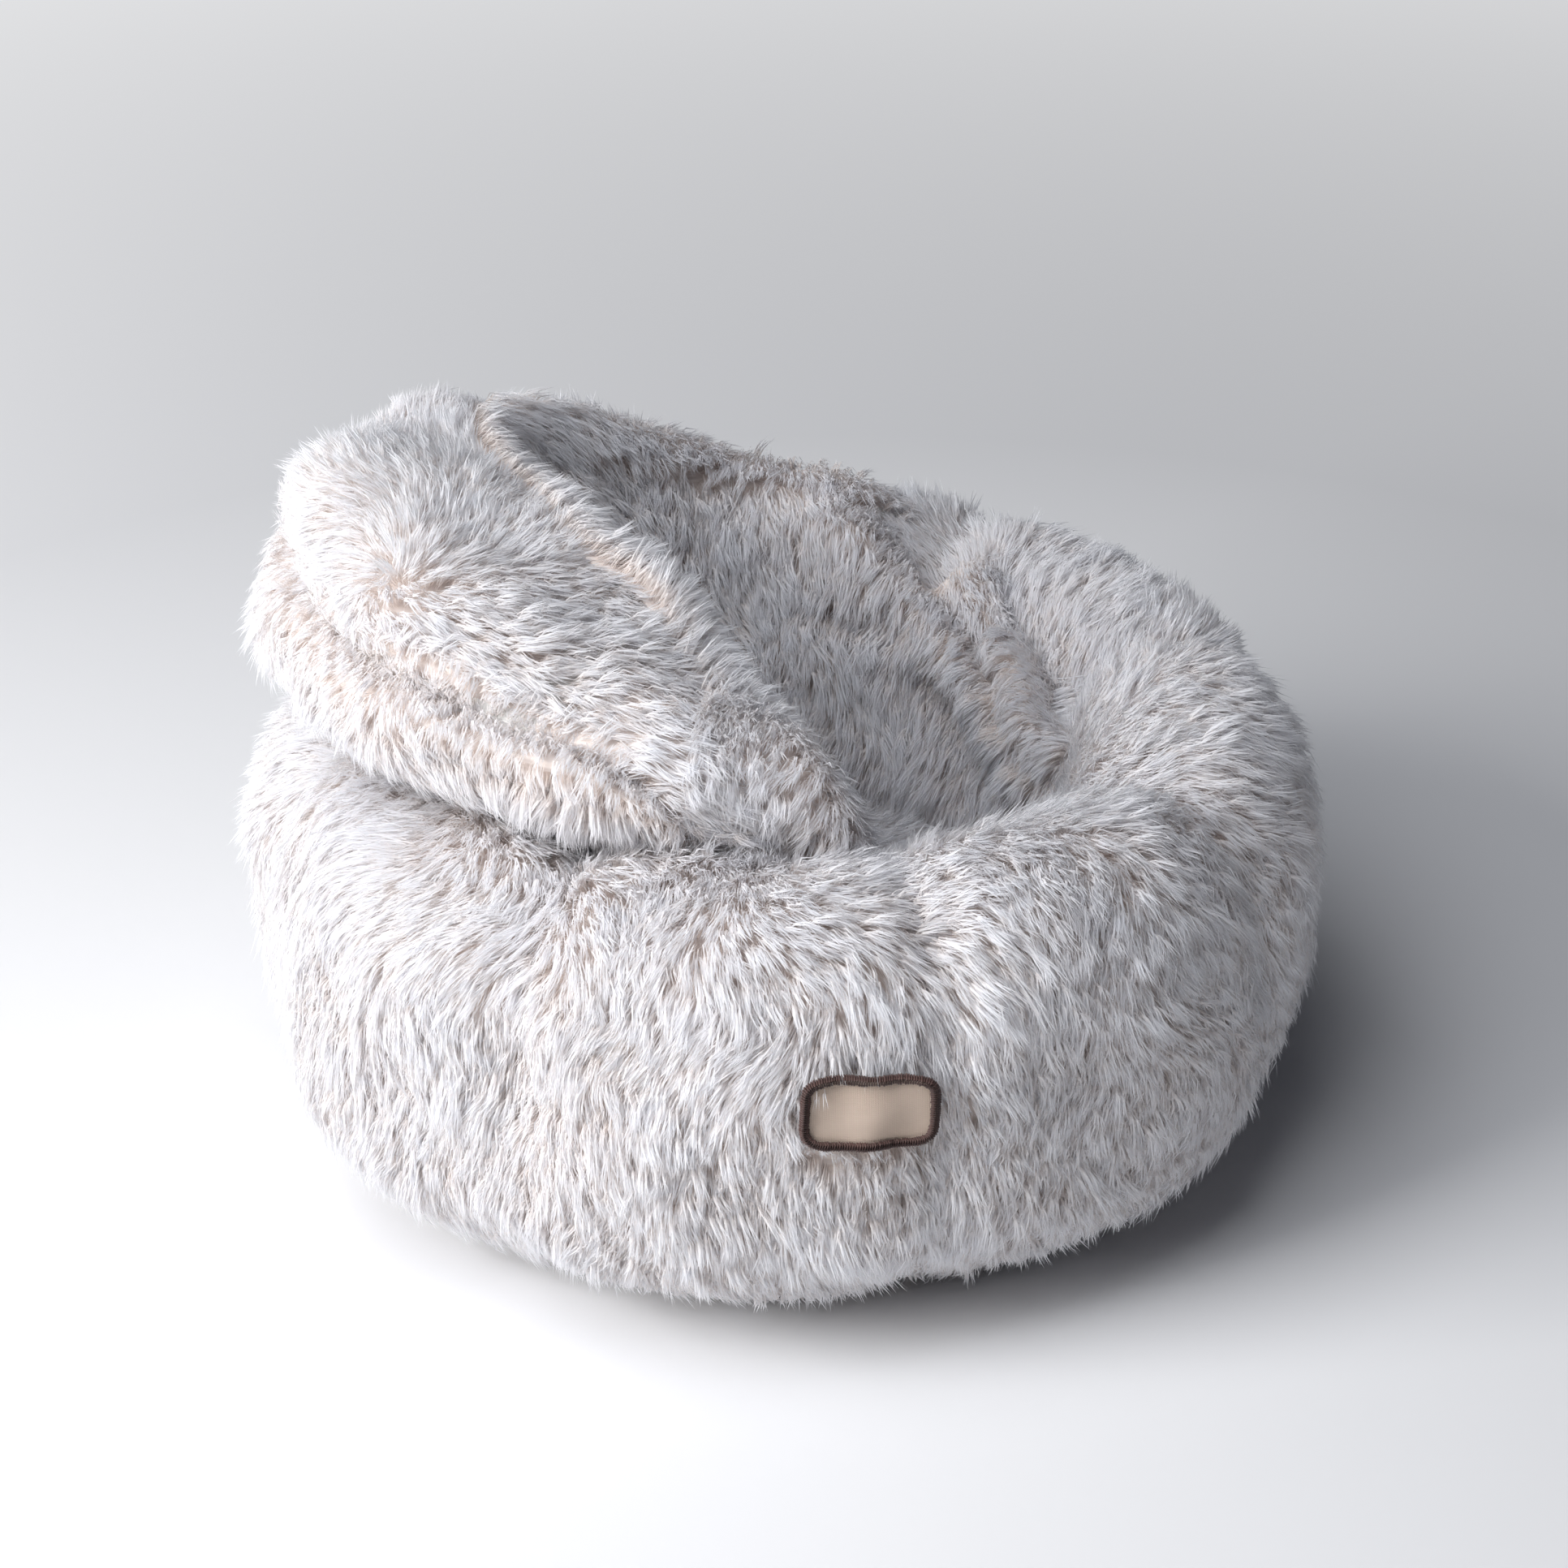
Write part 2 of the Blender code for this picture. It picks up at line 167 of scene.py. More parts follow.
def plush_material(name, root, middle, tip, shade):
    mat, tree, shader = new_material(name)
    output = next(node for node in tree.nodes if node.type == "OUTPUT_MATERIAL")
    chart = add(tree, "ShaderNodeUVMap", uv_map=PILE_MAP)
    axes = add(tree, "ShaderNodeSeparateXYZ", {0: chart.outputs[0]})
    ramp = add(tree, "ShaderNodeValToRGB", {0: axes.outputs["Y"]})
    # Painted shade: the root colour, warm peach near the cloth, stands for the dim warm light deep in the pile.
    ramp.color_ramp.elements[0].color = hex_color(root)
    ramp.color_ramp.elements[1].position = 0.62
    ramp.color_ramp.elements[1].color = hex_color(tip)
    ramp.color_ramp.elements.new(0.28).color = hex_color(middle)
    tone = add(
        tree,
        "ShaderNodeMix",
        {"Factor": axes.outputs["X"], 6: hex_color(shade), 7: hex_color("#FFFFFF")},
        data_type="RGBA",
    )
    color = add(
        tree,
        "ShaderNodeMix",
        {"Factor": 1.0, 6: ramp.outputs["Color"], 7: tone.outputs[2]},
        data_type="RGBA",
        blend_type="MULTIPLY",
    )
    tree.links.new(color.outputs[2], shader.inputs["Base Color"])
    light_through = add(tree, "ShaderNodeBsdfTranslucent", {"Color": color.outputs[2]})
    fibre = add(tree, "ShaderNodeMixShader", {0: 0.5, 1: shader.outputs[0], 2: light_through.outputs[0]})
    tree.links.new(fibre.outputs[0], output.inputs["Surface"])
    shader.inputs["Roughness"].default_value = 0.62
    shader.inputs["Specular IOR Level"].default_value = 0.22
    shader.inputs["Sheen Weight"].default_value = 0.12
    shader.inputs["Sheen Roughness"].default_value = 0.4
    return mat


# The first two colours, root and middle, are painted shade: warmer towards the cloth.
PILE = plush_material("brushed modacrylic pile, ivory", "#FBF2EC", "#FCF8F6", "#FBFCFF", "#F8F5F3")
print("pile material", PILE.name)

# %% [markdown]
# ## Backing material: knitted polyester
# The pile is knitted into a thin polyester backing. It shows only where the pile parts, at a seam or
# between two locks, as a warm beige ground with fine ribs.


# %% Make the backing material
def knit_material(name, color, dark, rib_mm):
    mat, tree, shader = new_material(name)
    place = add(tree, "ShaderNodeTexCoord")
    ribs = add(
        tree,
        "ShaderNodeTexWave",
        {"Vector": place.outputs["Object"], "Scale": 1000.0 / rib_mm / 6.28, "Distortion": 1.5},
        bands_direction="Z",
    )
    mottle = add(tree, "ShaderNodeTexNoise", {"Vector": place.outputs["Object"], "Scale": 60.0})
    mixed = add(tree, "ShaderNodeMath", {0: ribs.outputs["Fac"], 1: mottle.outputs["Fac"]}, operation="MULTIPLY")
    color_mix = add(
        tree,
        "ShaderNodeMix",
        {"Factor": mixed.outputs[0], 6: hex_color(dark), 7: hex_color(color)},
        data_type="RGBA",
    )
    bump = add(tree, "ShaderNodeBump", {"Height": ribs.outputs["Fac"], "Distance": 0.0003, "Strength": 0.5})
    tree.links.new(color_mix.outputs[2], shader.inputs["Base Color"])
    tree.links.new(bump.outputs[0], shader.inputs["Normal"])
    shader.inputs["Roughness"].default_value = 0.85
    return mat


BACKING = knit_material("knitted polyester backing, beige", "#F4EBE6", "#E4D8D1", 1.6)
print("backing material", BACKING.name)

# %% [markdown]
# ## One lock of pile
# A lock is a dozen flat strands that start apart and lean together towards their tips. Each strand is a
# narrow kite of two triangles, folded where it is widest, so that a million of them stay light. Six
# different locks are enough, because each copy is turned and scaled. The lock is one unit long along Z
# and is stretched to the real length when it is placed; its other sizes are in metres. X is the way it
# arches.

# %% Make six locks
LOCKS = 6
STRANDS = 12
STRAND_WIDTH = 0.00070
LOCK_SPREAD = 0.0024
LOCK_TIP = 0.0016
ARCH = 0.0032


def lock_mesh(seed):
    draw = np.random.default_rng(seed)
    verts, faces, along, side = [], [], [], []
    tip_place = draw.normal(0.0, LOCK_TIP, 2)
    for _ in range(STRANDS):
        root = draw.uniform(-LOCK_SPREAD, LOCK_SPREAD, 2)
        tip = tip_place + draw.normal(0.0, LOCK_TIP, 2)
        length = draw.uniform(0.70, 1.05)
        turn = draw.normal(0.0, 0.6)
        across = np.array([math.sin(turn), math.cos(turn)]) * STRAND_WIDTH / 2
        widest = draw.uniform(0.35, 0.6)
        bow = root + (tip - root) * widest + np.array([ARCH * draw.uniform(0.5, 1.3), 0.0])
        first = len(verts)
        verts += [
            (*root, 0.0),
            (*(bow - across), length * widest),
            (*(bow + across), length * widest),
            (*tip, length),
        ]
        along += [0.0, widest * length, widest * length, length]
        side += [0.5, 0.0, 1.0, 0.5]
        faces += [(first, first + 1, first + 2)[::-1], (first + 1, first + 2, first + 3)]
    mesh = bpy.data.meshes.new("lock")
    mesh.from_pydata(verts, [], faces)
    for name, values in (("along", along), ("side", side)):
        mesh.attributes.new(name, "FLOAT", "POINT").data.foreach_set("value", np.array(values, np.float32))
    return mesh


locks = bpy.data.collections.new("locks")
for seed in range(LOCKS):
    locks.objects.link(bpy.data.objects.new(f"lock_{seed}", lock_mesh(seed)))
print(f"{LOCKS} locks of {STRANDS} strands")

# %% [markdown]
# ## The pile tree
# The tree scatters points on the cloth, aims a lock at each, and makes them real. The cloth carries four
# attributes that steer it: comb, the way the pile lies; lift, how far it stands up from the cloth; pile,
# its length as a share of the full length; and tone. A last noise bends neighbouring locks together,
# which gives the loose waves of brushed pile.


# %% Build the Geometry Nodes tree
def pile_tree():
    tree = bpy.data.node_groups.new("Pile on cloth", "GeometryNodeTree")
    tree.interface.new_socket("Cloth", in_out="INPUT", socket_type="NodeSocketGeometry")
    sizes = {"Locks per m2": 95000.0, "Length": 0.0205, "Mess": 0.15, "Wave": 0.004, "Softness": 3.0}
    for name, value in sizes.items():
        tree.interface.new_socket(name, in_out="INPUT", socket_type="NodeSocketFloat").default_value = value
    tree.interface.new_socket("Seed", in_out="INPUT", socket_type="NodeSocketInt")
    tree.interface.new_socket("Pile", in_out="OUTPUT", socket_type="NodeSocketGeometry")
    given = add(tree, "NodeGroupInput").outputs

    def attribute(name, kind="FLOAT"):
        return add(tree, "GeometryNodeInputNamedAttribute", {"Name": name}, data_type=kind).outputs[0]

    def math_node(operation, a, b):
        return add(tree, "ShaderNodeMath", {0: a, 1: b}, operation=operation).outputs[0]

    def vector(operation, a, b=None, scale=None):
        inputs = {0: a} | ({1: b} if b is not None else {}) | ({"Scale": scale} if scale is not None else {})
        return add(tree, "ShaderNodeVectorMath", inputs, operation=operation).outputs[0]

    thick = math_node("MULTIPLY", given["Locks per m2"], attribute("thick"))
    points = add(
        tree,
        "GeometryNodeDistributePointsOnFaces",
        {"Mesh": given["Cloth"], "Density": thick, "Seed": given["Seed"]},
        distribute_method="RANDOM",
    )
    normal = add(
        tree,
        "GeometryNodeCaptureAttribute",
        {"Geometry": points.outputs["Points"]},
    )
    normal.capture_items.new("VECTOR", "Normal")
    tree.links.new(points.outputs["Normal"], normal.inputs["Normal"])
    out = normal.outputs["Normal"]
    faced = add(
        tree,
        "GeometryNodeStoreNamedAttribute",
        {"Geometry": normal.outputs["Geometry"], "Name": "out", "Value": out},
        data_type="FLOAT_VECTOR",
        domain="POINT",
    )
    own_tone = add(
        tree, "FunctionNodeRandomValue", {2: 0.0, 3: 0.6, "Seed": given["Seed"]}, data_type="FLOAT"
    ).outputs[1]
    toned = add(
        tree,
        "GeometryNodeStoreNamedAttribute",
        {
            "Geometry": faced.outputs[0],
            "Name": "tone",
            "Value": math_node("ADD", own_tone, math_node("MULTIPLY", attribute("tone"), 0.37)),
        },
        data_type="FLOAT",
        domain="POINT",
    )
    lift = attribute("lift")
    chance = add(
        tree,
        "FunctionNodeRandomValue",
        {0: (-1.0, -1.0, -1.0), 1: (1.0, 1.0, 1.0), "Seed": given["Seed"]},
        data_type="FLOAT_VECTOR",
    ).outputs[0]
    aim = vector("SCALE", attribute("comb", "FLOAT_VECTOR"), scale=math_node("SUBTRACT", 1.0, lift))
    aim = vector("ADD", aim, vector("SCALE", out, scale=lift))
    aim = vector("ADD", aim, vector("SCALE", chance, scale=given["Mess"]))
    along_aim = add(tree, "FunctionNodeAlignRotationToVector", {"Vector": aim}, axis="Z")
    arched = add(
        tree,
        "FunctionNodeAlignRotationToVector",
        {"Rotation": along_aim.outputs[0], "Vector": out},
        axis="X",
        pivot_axis="Z",
    )
    size = add(
        tree, "FunctionNodeRandomValue", {2: 0.72, 3: 1.12, "Seed": given["Seed"]}, data_type="FLOAT"
    ).outputs[1]
    length = math_node("MULTIPLY", math_node("MULTIPLY", size, attribute("pile")), given["Length"])
    scale = add(tree, "ShaderNodeCombineXYZ", {"X": 1.0, "Y": 1.0, "Z": length}).outputs[0]
    source = add(
        tree,
        "GeometryNodeCollectionInfo",
        {"Collection": locks, "Separate Children": True, "Reset Children": True},
    )
    placed = add(
        tree,
        "GeometryNodeInstanceOnPoints",
        {
            "Points": toned.outputs[0],
            "Instance": source.outputs[0],
            "Pick Instance": True,
            "Instance Index": add(
                tree, "FunctionNodeRandomValue", {4: 0, 5: LOCKS - 1, "Seed": given["Seed"]}, data_type="INT"
            ).outputs[2],
            "Rotation": arched.outputs[0],
            "Scale": scale,
        },
    )
    real = add(tree, "GeometryNodeRealizeInstances", {0: placed.outputs[0]})
    along = attribute("along")
    place = add(tree, "GeometryNodeInputPosition").outputs[0]
    noise = add(tree, "ShaderNodeTexNoise", {"Vector": place, "Scale": 55.0, "Detail": 1.5}).outputs["Color"]
    push = vector("SUBTRACT", noise, (0.5, 0.5, 0.5))
    reach = math_node("MULTIPLY", math_node("MULTIPLY", along, along), math_node("MULTIPLY", given["Wave"], 2.0))
    waved = add(
        tree,
        "GeometryNodeSetPosition",
        {"Geometry": real.outputs[0], "Offset": vector("SCALE", push, scale=reach)},
    )
    above_floor = vector("MAXIMUM", place, (-9.0, -9.0, 0.0008))
    laid = add(tree, "GeometryNodeSetPosition", {"Geometry": waved.outputs[0], "Position": above_floor})
    own = add(tree, "GeometryNodeInputNormal").outputs[0]
    soft = vector("ADD", vector("SCALE", attribute("out", "FLOAT_VECTOR"), scale=given["Softness"]), own)
    shaded = add(
        tree,
        "GeometryNodeSetMeshNormal",
        {"Mesh": laid.outputs[0], "Custom Normal": vector("NORMALIZE", soft)},
        mode="FREE",
        domain="POINT",
    )
    across = math_node("DIVIDE", attribute("side"), 64.0)
    toned = math_node("ADD", attribute("tone"), across)
    chart = add(tree, "ShaderNodeCombineXYZ", {"X": toned, "Y": along}).outputs[0]
    mapped = add(
        tree,
        "GeometryNodeStoreNamedAttribute",
        {"Geometry": shaded.outputs[0], "Name": PILE_MAP, "Value": chart},
        data_type="FLOAT2",
        domain="CORNER",
    )
    finished = add(tree, "GeometryNodeSetMaterial", {"Geometry": mapped.outputs[0], "Material": PILE})
    add(tree, "NodeGroupOutput", {0: finished.outputs[0]})
    return tree


PILE_TREE = pile_tree()
print("pile tree:", len(PILE_TREE.nodes), "nodes")

# %% [markdown]
# ## From a grid of points to cloth and pile
# A piece of cloth is a grid of points, so its maker only has to say where each point is, which way the
# pile lies there and how tall it stands. The pile is grown on the thin sheet, and only then does the
# sheet get its thickness.

# %% Make cloth and grow pile on it
CLOTH_THICK = 0.0025
triangles = {}


def smooth_noise(points, size, seed):
    """A smooth random field over points, about -1 to 1, with hills about `size` apart."""
    draw = np.random.default_rng(seed)
    field = np.zeros(points.shape[:-1])
    for _ in range(9):
        way = draw.normal(size=3)
        way *= draw.uniform(0.6, 1.5) * math.pi / size / np.linalg.norm(way)
        field += np.sin(points @ way + draw.uniform(0.0, 2 * math.pi))
    return field / 3.2


def unit(vectors):
    return vectors / np.maximum(np.linalg.norm(vectors, axis=-1, keepdims=True), 1e-9)


def turned_about(vectors, axis, angle):
    """Vectors turned about an axis by an angle in radians, point by point."""
    c, s = np.cos(angle)[..., None], np.sin(angle)[..., None]
    on_axis = axis * (np.sum(axis * vectors, -1, keepdims=True))
    return vectors * c + np.cross(axis, vectors) * s + on_axis * (1 - c)


def grid_frames(points):
    """Unit vectors along the grid's rows and columns, and the normal that faces out."""
    along_rows = unit(np.gradient(points, axis=0))
    along_columns = unit(np.gradient(points, axis=1))
    return along_rows, along_columns, unit(np.cross(along_rows, along_columns))


def cloth_sheet(name, points, closed=False):
    """A sheet through a grid of points, with quads. closed joins the last row to the first."""
    rows, columns = points.shape[:2]
    mesh = bpy.data.meshes.new(name)
    last = rows if closed else rows - 1
    i, j = np.meshgrid(np.arange(last), np.arange(columns - 1), indexing="ij")
    nxt = (i + 1) % rows
    faces = np.stack([i * columns + j, nxt * columns + j, nxt * columns + j + 1, i * columns + j + 1], -1)
    mesh.from_pydata(points.reshape(-1, 3).tolist(), [], faces.reshape(-1, 4).tolist())
    mesh.shade_smooth()
    obj = bpy.data.objects.new(name, mesh)
    bpy.context.scene.collection.objects.link(obj)
    return obj


def steer(obj, **fields):
    """Stores the pile's attributes on the sheet's points."""
    for name, values in fields.items():
        values = np.asarray(values, np.float32)
        if name == "comb":
            obj.data.attributes.new(name, "FLOAT_VECTOR", "POINT").data.foreach_set("vector", values.ravel())
        else:
            values = np.broadcast_to(values, len(obj.data.vertices)) if values.ndim == 0 else values.ravel()
            obj.data.attributes.new(name, "FLOAT", "POINT").data.foreach_set("value", values)


def plain_copy(obj, name):
    """A plain mesh object of what obj's modifiers make."""
    evaluated = obj.evaluated_get(bpy.context.evaluated_depsgraph_get())
    mesh = bpy.data.meshes.new_from_object(evaluated)
    mesh.name = name
    piece = bpy.data.objects.new(name, mesh)
    bpy.context.scene.collection.objects.link(piece)
    return piece


def grow_pile(cloth, name, seed, **sizes):
    """The pile of one sheet, as its own plain piece."""
    modifier = cloth.modifiers.new("pile", "NODES")
    modifier.node_group = PILE_TREE
    sockets = {
        item.name: item.identifier for item in PILE_TREE.interface.items_tree if item.in_out == "INPUT"
    }
    for key, value in {"Seed": seed, **{k.replace("_", " "): v for k, v in sizes.items()}}.items():
        modifier[sockets[key]] = value
    piece = plain_copy(cloth, name)
    cloth.modifiers.remove(modifier)
    for spare in ("comb", "lift", "pile", "tone", "thick", "along", "out", "side"):
        if spare in piece.data.attributes:
            piece.data.attributes.remove(piece.data.attributes[spare])
    triangles[name] = sum(len(p.vertices) - 2 for p in piece.data.polygons)
    return piece


def thicken(cloth, thickness=CLOTH_THICK):
    """Gives the sheet its thickness, inwards, and its backing material."""
    for spare in ("comb", "lift", "pile", "tone", "thick"):
        if spare in cloth.data.attributes:
            cloth.data.attributes.remove(cloth.data.attributes[spare])
    solid = cloth.modifiers.new("thickness", "SOLIDIFY")
    solid.thickness = thickness
    solid.offset = -1.0
    name = cloth.name
    cloth.name = name + "_sheet"
    piece = plain_copy(cloth, name)
    bpy.data.objects.remove(cloth)
    piece.data.materials.clear()
    piece.data.materials.append(BACKING)
    return piece


print("cloth helpers ready")

# %% [markdown]
# ## The hood's shape
# The hood is a padded wall bent round the back and the left of the rim. At every azimuth its section is a
# curve from the rim, out over its fullest point, to the crown and in to the lip. Eleven given sections give
# the curve's four points; a Catmull-Rom spline joins them, both along a section and from one to the next.

# %% Give the hood's sections
PILE_HEIGHT = 0.011  # from the cloth to where the leaning pile ends
HOOD_FOOT = HINGE.z
HOOD_HEIGHT = cad_box[1][2] - HOOD_FOOT + 0.001
HOOD_BULGE, HOOD_REACH, HOOD_WALL = 0.059, 0.124, 0.048
HOOD_SPLIT = 160.0
LIP_AT = 0.91
# azimuth; out and up at the rim, at the fullest point, at the crown and at the lip; the wall's direction
# at the lip; the wall's share
HOOD_SECTIONS = np.array(
    [
        (267, -0.19, 0.00, -0.17, 0.10, -0.20, 0.19, -0.27, 0.24, 200, 0.65),
        (255, -0.13, 0.00, -0.05, 0.20, -0.16, 0.38, -0.48, 0.46, 210, 0.80),
        (233, -0.12, 0.00, 0.23, 0.27, -0.15, 0.66, -0.90, 0.72, 245, 0.80),
        (210, -0.05, 0.00, 0.66, 0.32, 0.06, 0.88, -0.95, 0.80, 265, 1.00),
        (180, 0.15, 0.00, 1.00, 0.37, 0.23, 1.00, -0.86, 0.81, 275, 1.00),
        (160, 0.20, 0.00, 1.00, 0.37, 0.40, 0.93, -0.55, 0.84, 270, 1.00),
        (145, 0.20, 0.00, 0.92, 0.34, 0.50, 0.85, -0.15, 0.86, 250, 1.00),
        (125, 0.16, 0.00, 0.68, 0.24, 0.45, 0.55, 0.05, 0.66, 225, 0.90),
        (105, 0.13, 0.00, 0.44, 0.14, 0.37, 0.28, 0.20, 0.35, 208, 0.80),
        (85, 0.12, 0.00, 0.27, 0.08, 0.25, 0.14, 0.17, 0.18, 200, 0.65),
        (66, 0.11, 0.00, 0.19, 0.04, 0.17, 0.08, 0.12, 0.11, 195, 0.45),
    ]
)


HOOD_START, HOOD_END = HOOD_SECTIONS[0, 0], HOOD_SECTIONS[-1, 0]
START_TAPER, END_TAPER = 7.0, 16.0  # degrees over which the hood's two ends sink into the rim
END_SINK = 0.016
TWIST, TWIST_SPAN = 12.0, 50.0
DIP, DIP_AT, DIP_WIDTH = 0.009, (151.0, 0.66), (17.0, 0.24)  # where the crown sags


def spline(points, t):
    """Points on smooth curves through equally spaced points, one curve for each row of t. points is an array
    of (point, row, axis) and t of (row, place from 0 to 1). Past an end, a curve runs straight."""
    ends = np.concatenate([[2 * points[0] - points[1]], points, [2 * points[-1] - points[-2]]])
    on = np.clip(t, 0.0, 1.0) * (len(points) - 1)
    i = np.minimum(on.astype(int), len(points) - 2)
    u = (on - i)[..., None]
    row = np.arange(points.shape[1])[:, None]
    a, b, c, d = (ends[i + k, row] for k in range(4))
    curve = 0.5 * (2 * b + (c - a) * u + (2 * a - 5 * b + 4 * c - d) * u**2 + (3 * b - a - 3 * c + d) * u**3)
    past = ((t - np.clip(t, 0.0, 1.0)) * (len(points) - 1))[..., None]
    ahead = np.where(past < 0, (points[1] - points[0])[:, None], (points[-1] - points[-2])[:, None])
    return curve + past * ahead


def hood_surface(azimuths, along, inset, inside=False):
    """A grid on the hood, `inset` metres into the wall from its outside, or from its inside. along is one row
    of places for every azimuth, or a row for each."""
    along = np.broadcast_to(along, (len(azimuths), np.shape(along)[-1]))
    at = np.interp(-azimuths, -HOOD_SECTIONS[:, 0], np.linspace(0.0, 1.0, len(HOOD_SECTIONS)))
    rows = spline(HOOD_SECTIONS[:, None, 1:], at[None, :])[0]
    out_up = rows[:, :8].reshape(-1, 4, 2)
    reach = np.where(out_up[..., 0] > 0, HOOD_BULGE, HOOD_REACH)
    profile = np.stack([CREST + out_up[..., 0] * reach, HOOD_FOOT + out_up[..., 1] * HOOD_HEIGHT], -1)
    curve = spline(np.moveaxis(profile, 1, 0), along)
    wall = rows[:, 9:10] * HOOD_WALL
    inset = np.minimum(inset, 0.36 * wall)
    depth = wall - inset if inside else inset
    turn = np.radians(180.0 + (rows[:, 8:9] - 180.0) * np.clip(along, 0.0, 1.0) ** 1.5)
    radius = curve[..., 0] + depth * np.cos(turn)
    height = curve[..., 1] + depth * np.sin(turn)
    sunk = HOOD_FOOT - END_SINK
    whole = np.minimum((HOOD_START - azimuths) / START_TAPER, (azimuths - HOOD_END) / END_TAPER)
    whole = np.sin(np.clip(whole, 0.0, 1.0) * math.pi / 2)[:, None]
    height = sunk + (height - sunk) * whole
    sag = ((azimuths[:, None] - DIP_AT[0]) / DIP_WIDTH[0]) ** 2 + ((along - DIP_AT[1]) / DIP_WIDTH[1]) ** 2
    height = height - DIP * np.exp(-sag)
    a = np.radians(azimuths + hood_twist(azimuths) * inside)[:, None]
    return np.stack([radius * np.cos(a), radius * np.sin(a), height], -1)


def hood_twist(azimuths):
    """How far the inside of the wall turns ahead of the outside, where the mouth's near end faces the front."""
    return TWIST * np.clip((azimuths - HOOD_START + TWIST_SPAN) / TWIST_SPAN, 0.0, 1.0)


def seam_at(azimuths):
    """Where the seam runs, as a share of the way from the rim to the lip. At the near end it meets the rim."""
    return np.interp(azimuths, [66.0, 150.0, 200.0, 244.0, 251.0, 256.0], [0.5, 0.5, 0.49, 0.49, 0.38, 0.02])


WHORL = hood_surface(np.array([209.0]), np.array([0.66]), PILE_HEIGHT)[0, 0]
print("hood height", round(HOOD_HEIGHT, 4), "whorl at", WHORL.round(3))

# %% [markdown]
# ## The rim's eight gores
# Each gore runs from the floor up the outer wall, over the crest and down into the hollow. The fibre fill
# pushes it out between its two seams, and the seams pull in, so the ring shows eight soft pillows with a
# crease between each two. The cloth lies a pile's height inside the CAD solid, and the pile fills the
# rest.

# %% Shape the rim
CREASE = 0.0075
CREASE_WIDTH = 0.013
PUFF = 0.004


def rim_section(inset, count):
    """(radius, height) along the rim's section, evenly spaced, from the outer foot to the hollow's floor."""
    low = np.linspace(0.0, 1.0, 60, endpoint=False)
    height = PANEL_TOP + 0.001 + (MIDDLE - PANEL_TOP - 0.001) * low**1.5
    share = np.clip((MIDDLE - height) / MIDDLE, 0.0, 1.0)
    fullness = (1 - share**SECTION_POWER) ** (1 / SECTION_POWER)
    radius = CREST + (HALF - inset) * fullness - TUCK * np.clip(1 - height / TUCK_HEIGHT, 0, 1) ** 2
    angle = np.linspace(0.0, math.pi, 160)
    across = np.sign(np.cos(angle)) * np.abs(np.cos(angle)) ** (2 / SECTION_POWER)
    up = np.maximum(np.sin(angle), 0.0) ** (2 / SECTION_POWER)
    radius = np.concatenate([radius, CREST + (HALF - inset) * across, [HOLLOW + inset]])
    height = np.concatenate([height, MIDDLE + (MIDDLE - inset) * up, [0.6 * MIDDLE]])
    steps = np.concatenate([[0.0], np.cumsum(np.hypot(np.diff(radius), np.diff(height)))])
    even = np.linspace(0.0, steps[-1], count)
    return np.interp(even, steps, radius), np.interp(even, steps, height)


def rim_points(azimuths, inset, count):
    """A grid of points on the sculpted rim: rows go round it, columns go over it from outside to inside."""
    radius, height = rim_section(inset, count)
    tangent = unit(np.stack([np.gradient(radius), np.gradient(height)], -1))
    normal = np.stack([tangent[:, 1], -tangent[:, 0]], -1)
    a = np.radians(azimuths)[:, None]
    from_seam = np.abs((azimuths - FIRST_SEAM + 22.5) % 45.0 - 22.5)
    distance = np.radians(from_seam)[:, None] * radius[None, :]
    half_gore = math.radians(22.5) * radius[None, :]
    top = np.clip((height - 0.35 * MIDDLE) / MIDDLE, 0.25, 1.0)[None, :]
    move = -CREASE * np.exp(-((distance / CREASE_WIDTH) ** 2)) * top
    move = move + PUFF * np.sin(np.clip(distance / half_gore, 0, 1) * math.pi / 2) * top - PUFF / 2
    r = radius[None, :] + move * normal[None, :, 0]
    z = height[None, :] + move * normal[None, :, 1]
    points = np.stack([r * np.cos(a), r * np.sin(a), z + 0 * a], -1)
    lumps = 0.0035 * smooth_noise(points, 0.075, 3) + 0.0015 * smooth_noise(points, 0.03, 4)
    _, _, out = grid_frames(points)
    return points + out * (lumps * np.clip(z / 0.05, 0, 1))[..., None]


def hidden_by_hood(azimuth, radius, height):
    """Where the hood's foot or the lining lies on the rim, so that little pile is needed."""
    turn = np.mod(azimuth, 360.0)
    foot = hood_surface(np.clip(turn[:, 0], HOOD_END, HOOD_START), np.array([0.0]), PILE_HEIGHT)
    under_hood = (turn > 76) & (turn < 258) & (radius < np.hypot(foot[..., 0], foot[..., 1]) - 0.004)
    behind_lining = (turn > 24) & (turn < 262) & (radius < CREST - 0.052)
    return (under_hood & (height > MIDDLE)) | behind_lining


def under_label(points):
    """Where the label presses the pile flat. Its upper edge is left free, so that locks fall over it."""
    low, high = (np.array(corner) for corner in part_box("label_border"))
    margin = np.array([-0.003, 0.02, 0.004])
    inside = (points > low - margin) & (points < high + np.array([-0.003, 0.02, -0.003]))
    return inside.all(-1)


